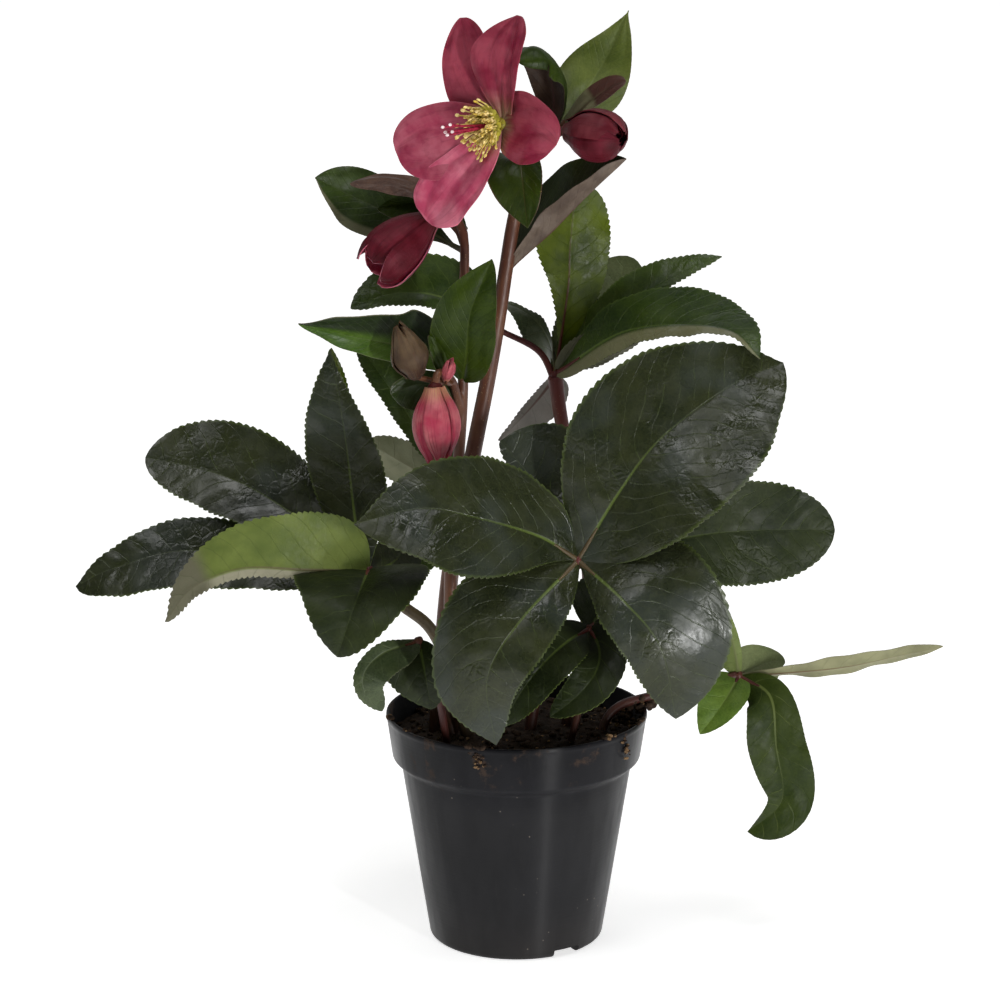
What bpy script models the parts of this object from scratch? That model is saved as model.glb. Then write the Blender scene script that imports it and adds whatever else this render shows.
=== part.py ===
"""Potted hellebore: leathery palmate leaves, two flowering stems and a nursery pot.

The plant stands on the flat base of its pot.  Frame: origin in the middle of the
pot's base, +Z up, +X to the right as the flower is looked at, +Y to the back.
"""
import math
import random

import bmesh
import bpy
from mathutils import Matrix, Vector

MM = 0.001
SEED = 7
CRUMBS = 12

# ------------------------------------------------------------------ sizes, mm
RIM_R = 65.0            # outer radius of the rim: a 13 cm nursery pot
POT_H = 116.0
BASE_R = 43.4
WALL = 1.2
FLOOR = 2.0
BAND_LOW = 92.0         # foot of the rim band
NECK_R = 57.2           # radius just under the band
NOTCH_W, NOTCH_IN, NOTCH_H = 15.0, 10.0, 4.0
NOTCH_TURN = -54.5      # direction of the first of two drain notches, degrees

SOIL_TOP = 106.0
GAP = 0.3               # clearance between pieces that touch
HUB_R = 3.4             # knot where the leaflets of one leaf meet
LEAF_T = 0.8            # leaf blade thickness
SEPAL_T = 0.8
TOOTH = 0.055           # depth of the teeth, as a share of the half width

# Every blade: points along its midrib, the way its upper face looks, then its
# left and right half as (width, fullness at the foot, fullness at the tip), the
# fold and curl of each half in degrees, and the way the face looks at the tip.
LEAVES = [
    ("leaf_front", [(3, -6, 84), (14, -6, 150), (26, -20, 190), (29, -56, 207)], (3.0, 2.6), [
        ([(29, -57, 208), (48, -60, 242), (68, -57, 268), (101, -47, 291), (126, -38, 300)],
         (-0.3, -1, 0.4), (40, 1.0, 1.05), (46, 0.7, 0.65), (8, 0), (8, 0)),
        ([(29, -57, 208), (11, -66, 222), (-19, -80, 235), (-45, -86, 241), (-76, -88, 234)],
         (0, -0.9, 0.6), (30, 1.2, 0.9), (30, 1.0, 1.25), (4, 0), (4, 0)),
        ([(29, -57, 208), (1, -86, 186), (-14, -92, 160), (-10, -84, 125)],
         (-0.1, -1, 0.3), (18, 0.8, 0.9), (33, 0.8, 1.0), (4, -10), (4, -10)),
        ([(29, -57, 208), (49, -82, 196), (67, -90, 175), (75, -84, 138)],
         (0.2, -1, 0.35), (41, 0.45, 0.65), (17, 1.1, 0.9), (6, -8), (-10, -20)),
        ([(29, -57, 208), (84, -24, 211), (118, -12, 211), (155, -8, 210)],
         (0, -1, 0.35), (24, 1.1, 0.55), (26, 1.1, 0.55), (8, 0), (-2, -6)),
        ([(29, -57, 208), (17, -36, 231), (7, -30, 242), (-8, -26, 259)],
         (0.2, -1, 0.1), (6, 0.7, 0.5), (32, 0.7, 0.5), (8, 0), (8, 0)),
    ]),
    ("leaf_left", [(-18, -14, 84), (-37, -30, 158), (-56, -40, 182), (-71, -46, 199)], (3.6, 2.6), [
        ([(-71, -46, 200), (-115, -30, 229), (-143, -24, 242), (-179, -18, 249)],
         (0.1, -0.9, 0.6), (20, 1.1, 0.6), (27, 1.0, 0.6), (8, 0), (8, 0)),
        ([(-71, -46, 200), (-77, -36, 220), (-82, -28, 260), (-89, -20, 303)],
         (-0.2, -1, 0.1), (20, 1.3, 1.1), (17, 1.1, 1.8), (4, 0), (4, -10)),
        ([(-71, -46, 200), (-80, -16, 262), (-84, -12, 286), (-89, -14, 302)],
         (0, 1, 0), (2, 0.7, 0.5), (8, 0.7, 0.5), (8, 0), (8, 0)),
        ([(-71, -46, 200), (-152, -42, 209), (-192, -40, 200), (-212, -38, 190)],
         (0.05, -0.9, 0.7), (20, 0.6, 0.5), (16, 1.2, 1.0), (8, 0), (8, 0)),
        ([(-71, -46, 200), (-100, -65, 206), (-130, -70, 208), (-153, -68, 198), (-167, -64, 180)],
         (0, 1, 0.1), (27, 0.45, 1.2), (4.5, 0.6, 0.4), (8, 0), (0, 0), (0.1, 0.8, -0.1)),
        ([(-71, -46, 200), (-76, -88, 195), (-84, -96, 172)],
         (-0.1, -0.9, 0.7), (31, 0.28, 0.8), (33, 0.28, 0.7), (20, -26), (20, -26)),
        ([(-71, -46, 200), (-58, -32, 202), (-55, -20, 212)],
         (0.6, -0.4, 0.6), (12, 0.6, 0.6), (13, 0.6, 0.6), (8, 0), (8, 0)),
    ]),
    ("leaf_right", [(22, 8, 84), (36, 10, 170), (27, 22, 233), (22, 24, 258), (19, 26, 279)],
     (4.0, 3.2), [
        ([(19, 26, 280), (25, 28, 322), (26, 28, 344), (29, 30, 375)],
         (-0.15, 1, 0.1), (20, 1.0, 0.45), (20, 2.3, 0.45), (8, 0), (8, 0)),
        ([(19, 26, 280), (12, 36, 302), (-9, 46, 313)],
         (-0.7, 0.2, 0.7), (10, 0.6, 0.7), (3.5, 0.6, 0.8), (8, 0), (8, 0)),
        ([(19, 26, 280), (47, 22, 307), (70, 22, 326), (100, 26, 339)],
         (-0.4, -0.7, 0.6), (15, 0.7, 0.85), (5, 0.5, 0.9), (8, 0), (-18, 0)),
        ([(19, 26, 280), (49, 4, 305), (78, -16, 314), (102, -38, 315), (114, -52, 305)],
         (0, -0.6, 0.9), (23, 1.15, 1.0), (10, 0.5, 0.9), (28, 0), (-22, 0), (0.5, -0.3, 0.9)),
        ([(19, 26, 280), (9, 34, 264), (-9, 30, 246)],
         (0.3, 0.7, 0.6), (3, 0.5, 0.7), (13, 0.5, 0.7), (8, 0), (8, 0)),
        ([(19, 26, 280), (41, 26, 288), (62, 30, 297)],
         (0.2, 0.9, 0.5), (3, 0.6, 0.8), (16, 0.6, 0.8), (8, 0), (8, 0)),
        ([(19, 26, 280), (45, 50, 313), (55, 60, 333)],
         (-0.2, -0.8, 0.5), (18, 0.7, 0.5), (18, 0.7, 0.5), (8, 0), (8, 0)),
    ]),
    ("leaf_low_right", [(38, -10, 84), (46, -2, 114), (70, 10, 121), (110, 18, 128)], (2.4, 2.0), [
        ([(111, 18, 128), (160, 10, 135), (190, 8, 142), (211, 6, 147)],
         (0, 0.8, 0.6), (7, 0.9, 0.7), (7, 0.9, 0.7), (8, 0), (8, 0)),
        ([(111, 18, 128), (126, 6, 121), (129, 0, 97), (132, -4, 70), (115, -8, 55)],
         (0.1, -1, 0.3), (16, 0.8, 0.48), (15, 0.8, 1.25), (8, 0), (8, 0)),
        ([(111, 18, 128), (102, 2, 118), (91, -2, 104)],
         (-0.2, -1, 0.3), (9.5, 0.45, 0.8), (14, 0.45, 0.8), (8, 0), (8, 0)),
        ([(111, 18, 128), (108, 22, 145), (103, 24, 164)],
         (0, 1, 0), (3.5, 0.6, 0.8), (10, 0.6, 0.8), (8, 0), (8, 0)),
        ([(111, 18, 128), (126, 28, 132), (135, 30, 131)],
         (0, -0.9, 0.5), (12, 0.35, 0.8), (10, 0.5, 0.4), (8, 0), (8, 0)),
    ]),
    ("leaf_low_left", [(-31, -34, 84), (-39, -46, 145), (-47, -56, 167)], (2.0, 1.8), [
        ([(-47, -57, 168), (-63, -66, 165), (-72, -70, 157), (-72, -72, 147), (-64, -72, 138)],
         (0.1, -0.5, 0.8), (13, 0.5, 0.6), (5, 0.5, 0.6), (8, 0), (8, 0), (-0.3, -0.8, 0.2)),
        ([(-47, -57, 168), (-44, -66, 156), (-41, -66, 137)],
         (-0.1, -1, 0.3), (9, 0.5, 0.6), (18, 0.6, 0.95), (8, 0), (8, 0)),
    ]),
    ("leaf_low_front", [(21, -22, 84), (32, -28, 135), (35, -32, 166)], (2.0, 1.8), [
        ([(35, -33, 167), (38, -56, 153), (16, -62, 132)],
         (-0.2, -0.9, 0.4), (13, 0.5, 0.8), (10, 0.5, 0.6), (8, 0), (8, 0)),
        ([(35, -33, 167), (13, -56, 157), (-7, -62, 128)],
         (-0.1, -0.9, 0.5), (13, 0.5, 0.6), (13, 0.5, 0.6), (8, 0), (8, 0)),
        ([(35, -33, 167), (43, -18, 178), (46, -8, 190)],
         (0, -0.9, 0.6), (16, 0.6, 0.6), (16, 0.6, 0.6), (8, 0), (8, 0)),
    ]),
    ("leaf_back", [(-8, 24, 84), (-18, 30, 154), (-26, 42, 211)], (3.0, 2.4), [
        ([(-26, 42, 212), (-48, 38, 228), (-75, 40, 243)],
         (-0.2, 0.7, 0.4), (12, 0.6, 0.6), (15, 0.6, 0.6), (8, 0), (8, 0)),
        ([(-26, 42, 212), (-34, 26, 202), (-50, 17, 182)],
         (0, -0.7, 0.7), (10, 0.6, 0.6), (10, 0.6, 0.6), (8, 0), (8, 0)),
        ([(-26, 42, 212), (-55, 34, 260), (-78, 40, 292)],
         (0.2, -0.8, 0.3), (7, 0.8, 0.45), (19, 0.8, 0.45), (8, 0), (8, 0)),
        ([(-26, 42, 212), (12, 66, 222), (63, 76, 219)],
         (0.1, 0.5, 0.8), (24, 0.7, 0.6), (24, 0.7, 0.6), (8, 0), (8, 0)),
        ([(-26, 42, 212), (-34, 90, 211), (-45, 128, 190)],
         (0, 0.4, 0.9), (24, 0.7, 0.6), (24, 0.7, 0.6), (8, 0), (8, 0)),
    ]),
]

# Small stalk that leaves the head of the right leaf's stalk, and its one leaflet.
SIDE_STALK = ([(19, 26, 277), (11, 30, 291), (-6, 32, 300), (-18, 27, 307)], (1.8, 1.4))
SIDE_LEAFLET = ([(-17.4, 26.9, 306.6), (-47, 26, 321), (-81, 22, 314)],
                (0, -0.9, 0.6), (7, 0.8, 0.7), (20, 0.45, 0.8), (8, 0), (8, 0))

# Flowering stems: a main line, then the small stalks of its flowers and buds.
STEMS = [
    ("flower_stem_right", [
        ([(-40, -2, 84), (-33, 2, 182), (-22, 2, 242), (-14, 2, 283), (-9, 2, 312), (-5, 2, 339),
          (-1, 4, 363), (6, 8, 387), (22, 24, 405)], (5.0, 3.0)),
        ([(6, 8, 387), (15, 10, 398), (23, 8, 404)], (2.4, 2.0)),
        ([(4, 8, 382), (3, 0, 398), (-5, -16.5, 410)], (2.4, 2.0)),
    ]),
    ("flower_stem_left", [
        ([(-32, -14, 84), (-32, -10, 196), (-28, -12, 249), (-26, -14, 281), (-26, -14, 316),
          (-25, -10, 344), (-26, -6, 358), (-31, -4, 364), (-39, -5, 365)], (4.0, 2.0)),
        ([(-27, -14, 271), (-31, -24, 288), (-37, -37, 295), (-39, -41, 290)], (2.2, 1.8)),
        ([(-31, -24, 288), (-39, -33, 290), (-48, -40, 294)], (1.6, 1.4)),
        ([(-31, -24, 288), (-32, -30, 288), (-34, -34, 290)], (1.3, 1.2)),
    ]),
]

BRACTS = [
    ("bract_left_upright", "green",
     [(-26, -15, 286), (-24, -26, 300), (-22, -33, 323), (-12, -34, 349)],
     (-0.1, -1, 0.4), (18, 0.75, 1.0), (14, 0.6, 0.75), (10, 0), (10, 0)),
    ("bract_left_cupped", "green",
     [(-26, -13, 292), (-52, -18, 303), (-76, -36, 312), (-103, -44, 320)],
     (0.1, -0.9, 0.3), (9, 0.6, 0.7), (20, 0.8, 1.0), (8, 0), (8, 0), (-0.1, -0.6, -0.5)),
    ("bract_left_low", "green",
     [(-27, -15, 274), (-42, -24, 286), (-60, -31, 283)],
     (0.2, -0.6, 0.8), (13, 0.5, 0.35), (7, 0.35, 0.4), (-25, -15), (30, 20)),
    ("bract_left_tall", "green",
     [(-25, -9, 348), (-46, 15, 355), (-78, 20, 369), (-97, 13, 380)],
     (0.2, -0.9, 0.3), (16, 2.4, 1.1), (15, 1.9, 0.8), (8, 0), (8, 0)),
    ("bract_left_brown", "brown",
     [(-26, -8, 352), (-46, 5, 375), (-80, 6, 378)],
     (0, 0.5, -0.9), (7, 1.1, 0.6), (7, 1.1, 0.6), (8, 0), (8, 0)),
    ("bract_left_small", "green",
     [(-24.8, -3.6, 357.5), (-42, 9, 368), (-67, 10, 365)],
     (-0.2, -1, 0.3), (11, 0.9, 0.7), (5, 0.6, 0.7), (8, 0), (8, 0)),
    ("bract_left_bud_side", "green",
     [(-32, -26, 288), (-37, -30, 300), (-42, -33, 312)],
     (0.2, -0.8, 0.5), (3.5, 0.6, 0.6), (3.5, 0.6, 0.6), (12, 0), (12, 0)),
    ("bract_right_curled", "green",
     [(18, 21, 401), (18, 25, 418), (15, 23, 434), (8, 14, 443), (-1, 5, 438)],
     (0.35, 1, 0.1), (22, 0.7, 0.6), (12, 0.8, 0.6), (-5, -88), (-5, -30), (0.3, 0.2, 1)),
    ("bract_right_tall", "green",
     [(22, 26, 402), (38, 44, 424), (47, 44, 440), (54, 40, 457)],
     (-0.2, -1, 0.2), (17, 0.9, 1.4), (18, 0.9, 1.3), (8, 0), (8, 0)),
    ("bract_right_brown", "brown",
     [(22, 21, 401), (38, 15, 419), (52, 10, 427)],
     (-0.1, -0.8, 0.6), (6, 0.5, 0.4), (5, 0.5, 0.4), (8, 0), (8, 0)),
    ("bract_right_hanging", "green",
     [(6, 8, 388), (2, -4, 390), (3, -13, 379), (5, -18, 361)],
     (0, 0.1, 1), (10, 0.7, 0.9), (17, 0.7, 1.0), (10, 0), (10, 0), (-0.1, -1, 0.1)),
    ("bract_right_trough", "green",
     [(-5, 3, 336), (14, 6, 353), (35, 0, 375), (52, -4, 392)],
     (-0.5, -0.3, 1), (26, 0.8, 0.8), (11, 0.6, 0.7), (20, 15), (70, 0)),
]

# The open flower looks to the left and a little forward.
FLOWER = (-7, -20, 411)
FLOWER_AXIS = (-0.72, -0.69, 0.02)
SEPALS = [
    ([(-7, -20, 411), (-31, -15, 407), (-58, -3, 396)],
     (-0.5, -0.85, 0), (22, 0.5, 0.45), (15, 0.65, 0.5), (6, 8), (6, 8)),
    ([(-7, -20, 411), (-20, -24, 395), (-43, -20, 365)],
     (-0.6, -0.8, 0.35), (18, 1.0, 0.55), (17, 1.1, 0.35), (8, 0), (8, 0)),
    ([(-7, -20, 411), (6, -38, 411), (18, -46, 405)],
     (-0.6, -0.8, 0.2), (17, 0.4, 0.5), (17, 0.4, 0.35), (8, 0), (8, 0)),
    ([(-7, -20, 411), (-7, -26, 433), (-4, -24, 447), (0, -18, 462)],
     (-0.5, -0.9, -0.1), (18, 1.5, 1.0), (11, 0.5, 0.4), (6, 0), (16, 20)),
    ([(-7, -20, 411), (-19, -12, 435), (-27, -4, 459)],
     (-0.3, -1, -0.1), (18, 0.5, 0.75), (11, 0.7, 0.45), (8, 0), (8, 0)),
]
STAMENS = 15

# Buds: foot, mouth, then the cup's radius at four even steps from foot to mouth,
# and the number of wrapped sepals.
BUDS = [
    ("bud_left", (-40, -5, 364), (-70, -19, 340), (3, 11, 14, 12), 5, "maroon"),
    ("bud_right", (24, 6, 404), (50, -14, 403), (3, 11, 12, 9), 5, "maroon"),
    ("bud_hanging", (-39, -41, 289), (-37, -45, 252), (3, 11, 11, 4), 5, "rose"),
    ("bud_young_brown", (-48, -40, 295), (-56, -48, 321), (3.5, 9.5, 6, 3.0), 4, "brown"),
    ("bud_tiny", (-34, -34, 291), (-31, -41, 302), (1.2, 2.8, 2.4, 1.6), 3, "rose"),
]

COLOURS = {
    "leaf": ((0.035, 0.055, 0.030), 0.38), "green": ((0.060, 0.170, 0.035), 0.40),
    "stalk": ((0.120, 0.040, 0.025), 0.45), "brown": ((0.130, 0.055, 0.040), 0.50),
    "rose": ((0.420, 0.070, 0.140), 0.50), "maroon": ((0.180, 0.015, 0.040), 0.50),
    "stamen": ((0.800, 0.600, 0.080), 0.55), "style": ((0.350, 0.010, 0.040), 0.45),
    "soil": ((0.018, 0.012, 0.009), 0.95), "pot": ((0.022, 0.022, 0.024), 0.32),
}


# ------------------------------------------------------------- small helpers
def clear_scene():
    for obj in list(bpy.data.objects):
        bpy.data.objects.remove(obj, do_unlink=True)


def material(name):
    mat = bpy.data.materials.get(name)
    if mat is None:
        colour, rough = COLOURS[name]
        mat = bpy.data.materials.new(name)
        mat.use_nodes = True
        shader = mat.node_tree.nodes["Principled BSDF"]
        shader.inputs["Base Color"].default_value = (*colour, 1.0)
        shader.inputs["Roughness"].default_value = rough
        shader.inputs["Metallic"].default_value = 0.0
    return mat


def add_object(name, bm, mat=None, sharp=40):
    mesh = bpy.data.meshes.new(name)
    bmesh.ops.recalc_face_normals(bm, faces=bm.faces)
    bm.to_mesh(mesh)
    bm.free()
    obj = bpy.data.objects.new(name, mesh)
    bpy.context.scene.collection.objects.link(obj)
    if mat:
        mesh.materials.append(material(mat))
        mesh.shade_smooth()
        mesh.set_sharp_from_angle(angle=math.radians(sharp))
    return obj


def evaluated(obj):
    """Replace an object's mesh with what its modifiers make of it."""
    depsgraph = bpy.context.evaluated_depsgraph_get()
    mesh = bpy.data.meshes.new_from_object(obj.evaluated_get(depsgraph))
    obj.modifiers.clear()
    old = obj.data
    obj.data = mesh
    if old.users == 0:
        bpy.data.meshes.remove(old)


def closed(mesh):
    """True where every edge has two faces."""
    bm = bmesh.new()
    bm.from_mesh(mesh)
    good = len(bm.faces) > 0 and all(len(e.link_faces) == 2 for e in bm.edges)
    bm.free()
    return good


def boolean(obj, others, kind):
    """Join or cut an object with a collection of others, which are then removed.

    EXACT comes first; where it leaves an open edge the same step is done by MANIFOLD.
    """
    group = bpy.data.collections.new("operands")
    bpy.context.scene.collection.children.link(group)
    for other in others:
        bpy.context.scene.collection.objects.unlink(other)
        group.objects.link(other)
    before = obj.data.copy()
    for solver in ("EXACT", "MANIFOLD"):
        mod = obj.modifiers.new(kind, "BOOLEAN")
        mod.operation = kind
        mod.operand_type = "COLLECTION"
        mod.collection = group
        mod.solver = solver
        evaluated(obj)
        tidy(obj)
        if closed(obj.data) or solver == "MANIFOLD":
            break
        obj.data = before.copy()
    bpy.data.meshes.remove(before)
    for other in others:
        bpy.data.objects.remove(other, do_unlink=True)
    bpy.data.collections.remove(group)


def tidy(obj):
    """Weld what a Boolean left double and split every face into triangles."""
    bm = bmesh.new()
    bm.from_mesh(obj.data)
    bmesh.ops.remove_doubles(bm, verts=bm.verts, dist=0.0000005)
    bmesh.ops.triangulate(bm, faces=bm.faces)
    drop_scraps(bm)
    bm.to_mesh(obj.data)
    bm.free()


def drop_scraps(bm):
    """Keep the largest connected body and delete loose bits beside it."""
    left, bodies = set(bm.verts), []
    while left:
        todo, body = [left.pop()], []
        while todo:
            vert = todo.pop()
            body.append(vert)
            for edge in vert.link_edges:
                other = edge.other_vert(vert)
                if other in left:
                    left.discard(other)
                    todo.append(other)
        bodies.append(body)
    bodies.sort(key=len)
    for body in bodies[:-1]:
        bmesh.ops.delete(bm, geom=body, context="VERTS")


def curve_points(points, count):
    """Evenly spaced points on a smooth line through the given ones."""
    pts = [Vector(p) for p in points]
    line = []
    if len(pts) == 3:
        mid = 2 * pts[1] - (pts[0] + pts[2]) / 2
        for i in range(121):
            u = i / 120
            line.append((1 - u) ** 2 * pts[0] + 2 * u * (1 - u) * mid + u * u * pts[2])
    else:
        ext = [2 * pts[0] - pts[1]] + pts + [2 * pts[-1] - pts[-2]]
        for i in range(1, len(ext) - 2):
            a, b, c, d = ext[i - 1:i + 3]
            for k in range(40):
                u = k / 40
                line.append(0.5 * (2 * b + (c - a) * u + (2 * a - 5 * b + 4 * c - d) * u * u
                                   + (3 * b - a - 3 * c + d) * u ** 3))
        line.append(pts[-1])
    run = [0.0]
    for a, b in zip(line, line[1:]):
        run.append(run[-1] + (b - a).length)
    out, k = [], 0
    for i in range(count + 1):
        want = run[-1] * i / count
        while k < len(run) - 2 and run[k + 1] < want:
            k += 1
        step = run[k + 1] - run[k]
        out.append(line[k].lerp(line[k + 1], (want - run[k]) / step if step else 0))
    return out


def fullness(v, foot, tip):
    """Width of a blade along its length, 1 at its widest."""
    top = foot / (foot + tip)
    v = min(max(v, 1e-4), 1 - 1e-4)
    return (v / top) ** foot * ((1 - v) / (1 - top)) ** tip


# ------------------------------------------------------------------- shapes
def blade(name, spec, rows=7, cols=2, thick=LEAF_T, teeth=2, least=0.9):
    """One leaflet, bract or sepal: a grid laid along its midrib, then thickened."""
    points, face, left, right, fold_l, fold_r = spec[:6]
    face_tip = spec[6] if len(spec) > 6 else face
    rib = curve_points(points, 60)
    bm = bmesh.new()
    bmesh.ops.create_grid(bm, x_segments=2 * cols, y_segments=rows, size=1.0)
    margin = [e for e in bm.edges if all(abs(abs(v.co.x) - 1) < 1e-4 for v in e.verts)
              and all(1.5 / rows - 1 < v.co.y < 1 - 1.5 / rows for v in e.verts)]
    if teeth:
        bmesh.ops.subdivide_edges(bm, edges=margin, cuts=teeth)
        margin_verts = sorted((v for v in bm.verts if abs(abs(v.co.x) - 1) < 1e-4),
                              key=lambda v: (v.co.x, v.co.y))
        for i, vert in enumerate(margin_verts):
            if 1.5 / rows - 1 < vert.co.y < 1 - 1.5 / rows:
                vert.co.x *= 1 + (TOOTH if i % 2 else -TOOTH)
    thicken(bm)
    for vert in bm.verts:
        s, v, top = vert.co.x, (vert.co.y + 1) / 2, vert.co.z
        k = v * 60
        i = min(int(k), 59)
        foot = rib[i].lerp(rib[i + 1], k - i)
        a, b = rib[max(i - 1, 0)], rib[min(i + 2, 60)]
        along = (b - a).normalized()
        look = Vector(face).normalized().lerp(Vector(face_tip).normalized(), v)
        up = (look - look.dot(along) * along).normalized()
        side = along.cross(up)
        width, low, high = right if s >= 0 else left
        fold, curl = fold_r if s >= 0 else fold_l
        reach = max(width * fullness(v, low, high), least) * abs(s)
        turn, start = math.radians(curl) * min(abs(s), 1), math.radians(fold)
        if abs(curl) < 0.1:
            x, h = reach * math.cos(start), reach * math.sin(start)
        else:
            x = reach * (math.sin(start + turn) - math.sin(start)) / turn if turn else 0
            h = reach * (math.cos(start) - math.cos(start + turn)) / turn if turn else 0
        lean = start + turn * abs(s)
        out = up * math.cos(lean) - side * math.copysign(math.sin(lean), s) * min(abs(s) * 3, 1)
        vert.co = (foot + side * math.copysign(x, s) + up * h + out * (top - 0.5) * thick) * MM
    return add_object(name, bm)


def leaflet(spec):
    """A leaflet, with fewer rows and teeth where it is small."""
    wide = max(spec[2][0], spec[3][0])
    if wide > 24:
        return blade("leaflet", spec, rows=5, teeth=2)
    if wide > 13:
        return blade("leaflet", spec, rows=5, teeth=1)
    return blade("leaflet", spec, rows=4, teeth=1)


def thicken(bm):
    """Turn a flat sheet into a closed slab from z = 0 to z = 1, alike on both faces."""
    bmesh.ops.triangulate(bm, faces=bm.faces)
    new = bmesh.ops.extrude_face_region(bm, geom=bm.faces[:])["geom"]
    bmesh.ops.translate(bm, vec=(0, 0, 1), verts=[g for g in new if isinstance(g, bmesh.types.BMVert)])
    bmesh.ops.triangulate(bm, faces=bm.faces)


def ball(name, centre, radius, levels=1, squash=1.0):
    bm = bmesh.new()
    bmesh.ops.create_icosphere(bm, subdivisions=levels, radius=radius * MM)
    bmesh.ops.scale(bm, vec=(1, 1, squash), verts=bm.verts)
    bmesh.ops.translate(bm, vec=Vector(centre) * MM, verts=bm.verts)
    return add_object(name, bm)


def stalk(name, points, radii, extra=0.0, sides=1, stretch=0.0):
    """Round stalk: a curve with a bevel and filled caps, made a mesh."""
    reach = sum((Vector(b) - Vector(a)).length for a, b in zip(points, points[1:]))
    count = max(5, round(reach / 30))
    line = curve_points(points, count)
    if stretch:
        line[-1] = line[-1] + (line[-1] - line[-2]).normalized() * stretch
    curve = bpy.data.curves.new(name, "CURVE")
    curve.dimensions = "3D"
    curve.bevel_depth = 1.0 * MM
    curve.bevel_resolution = sides
    curve.use_fill_caps = True
    spline = curve.splines.new("POLY")
    spline.points.add(count)
    for i, p in enumerate(line):
        spline.points[i].co = (*(p * MM), 1)
        spline.points[i].radius = radii[0] + (radii[1] - radii[0]) * i / count + extra
    obj = bpy.data.objects.new(name, curve)
    bpy.context.scene.collection.objects.link(obj)
    depsgraph = bpy.context.evaluated_depsgraph_get()
    mesh = bpy.data.meshes.new_from_object(obj.evaluated_get(depsgraph))
    bpy.data.objects.remove(obj, do_unlink=True)
    bpy.data.curves.remove(curve)
    bm = bmesh.new()
    bm.from_mesh(mesh)
    bpy.data.meshes.remove(mesh)
    bmesh.ops.remove_doubles(bm, verts=bm.verts, dist=0.00001)
    bmesh.ops.triangulate(bm, faces=bm.faces)
    return add_object(name, bm)


def finish(obj, name, mat, sharp=40):
    obj.name = name
    obj.data.name = name
    obj.data.materials.clear()
    obj.data.materials.append(material(mat))
    obj.data.shade_smooth()
    obj.data.set_sharp_from_angle(angle=math.radians(sharp))
    return obj


def petal(foot, axis, length, radii, turn, spread, lap, thick, rows=3, cols=2):
    """One wrapped sepal of a bud, on a cup whose radius is given at even steps."""
    axis = axis.normalized()
    e1 = axis.orthogonal().normalized()
    e2 = axis.cross(e1)
    bm = bmesh.new()
    bmesh.ops.create_grid(bm, x_segments=2 * cols, y_segments=rows, size=1.0)
    thicken(bm)
    for vert in bm.verts:
        s, v, top = vert.co.x, (vert.co.y + 1) / 2, vert.co.z
        k = v * (len(radii) - 1)
        i = min(int(k), len(radii) - 2)
        r = radii[i] + (radii[i + 1] - radii[i]) * (k - i)
        narrow = math.sqrt(max(1 - ((v - 0.45) / 0.62) ** 2, 0.02)) if v > 0.45 else 1.0
        angle = turn + spread * s * narrow
        r += lap * s + (top - 0.5) * thick
        vert.co = (foot + axis * (length * v) + (e1 * math.cos(angle) + e2 * math.sin(angle)) * r) * MM
    return add_object("petal", bm)


# ---------------------------------------------------------------------- pot
def make_pot():
    outer = [(0, 0), (BASE_R - 1.2, 0), (BASE_R, 1.2), (NECK_R + 0.2, BAND_LOW - 2),
             (NECK_R + 2.6, BAND_LOW), (NECK_R + 4.4, BAND_LOW + 1.6),
             (RIM_R - 0.5, POT_H - 3), (RIM_R, POT_H - 1.6), (RIM_R - 0.4, POT_H)]
    inner = [(RIM_R - 1.7, POT_H), (NECK_R + 3.2, BAND_LOW + 1.2), (NECK_R - 1.0, BAND_LOW - 2),
             (BASE_R - 1.3, FLOOR + 1.2), (BASE_R - 2.6, FLOOR), (0, FLOOR)]
    bm = bmesh.new()
    verts = [bm.verts.new((r * MM, 0, z * MM)) for r, z in outer + inner]
    edges = [bm.edges.new(pair) for pair in zip(verts, verts[1:])]
    bmesh.ops.spin(bm, geom=verts + edges, cent=(0, 0, 0), axis=(0, 0, 1), dvec=(0, 0, 0),
                   angle=2 * math.pi, steps=36, use_merge=True)
    bmesh.ops.remove_doubles(bm, verts=bm.verts, dist=0.00001)
    obj = add_object("pot", bm)
    cutters = []
    for side in range(2):
        bm = bmesh.new()
        turn = math.radians(NOTCH_TURN + 180 * side)
        bmesh.ops.create_cube(bm, size=1.0)
        bmesh.ops.scale(bm, vec=(NOTCH_IN * MM * 2, NOTCH_W * MM, NOTCH_H * MM * 2), verts=bm.verts)
        bmesh.ops.translate(bm, vec=(BASE_R * MM, 0, 0), verts=bm.verts)
        bmesh.ops.rotate(bm, cent=(0, 0, 0), verts=bm.verts,
                         matrix=Matrix.Rotation(turn, 3, "Z"))
        cutters.append(add_object("notch", bm))
    boolean(obj, cutters, "DIFFERENCE")
    return finish(obj, "pot", "pot", 35)


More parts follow.
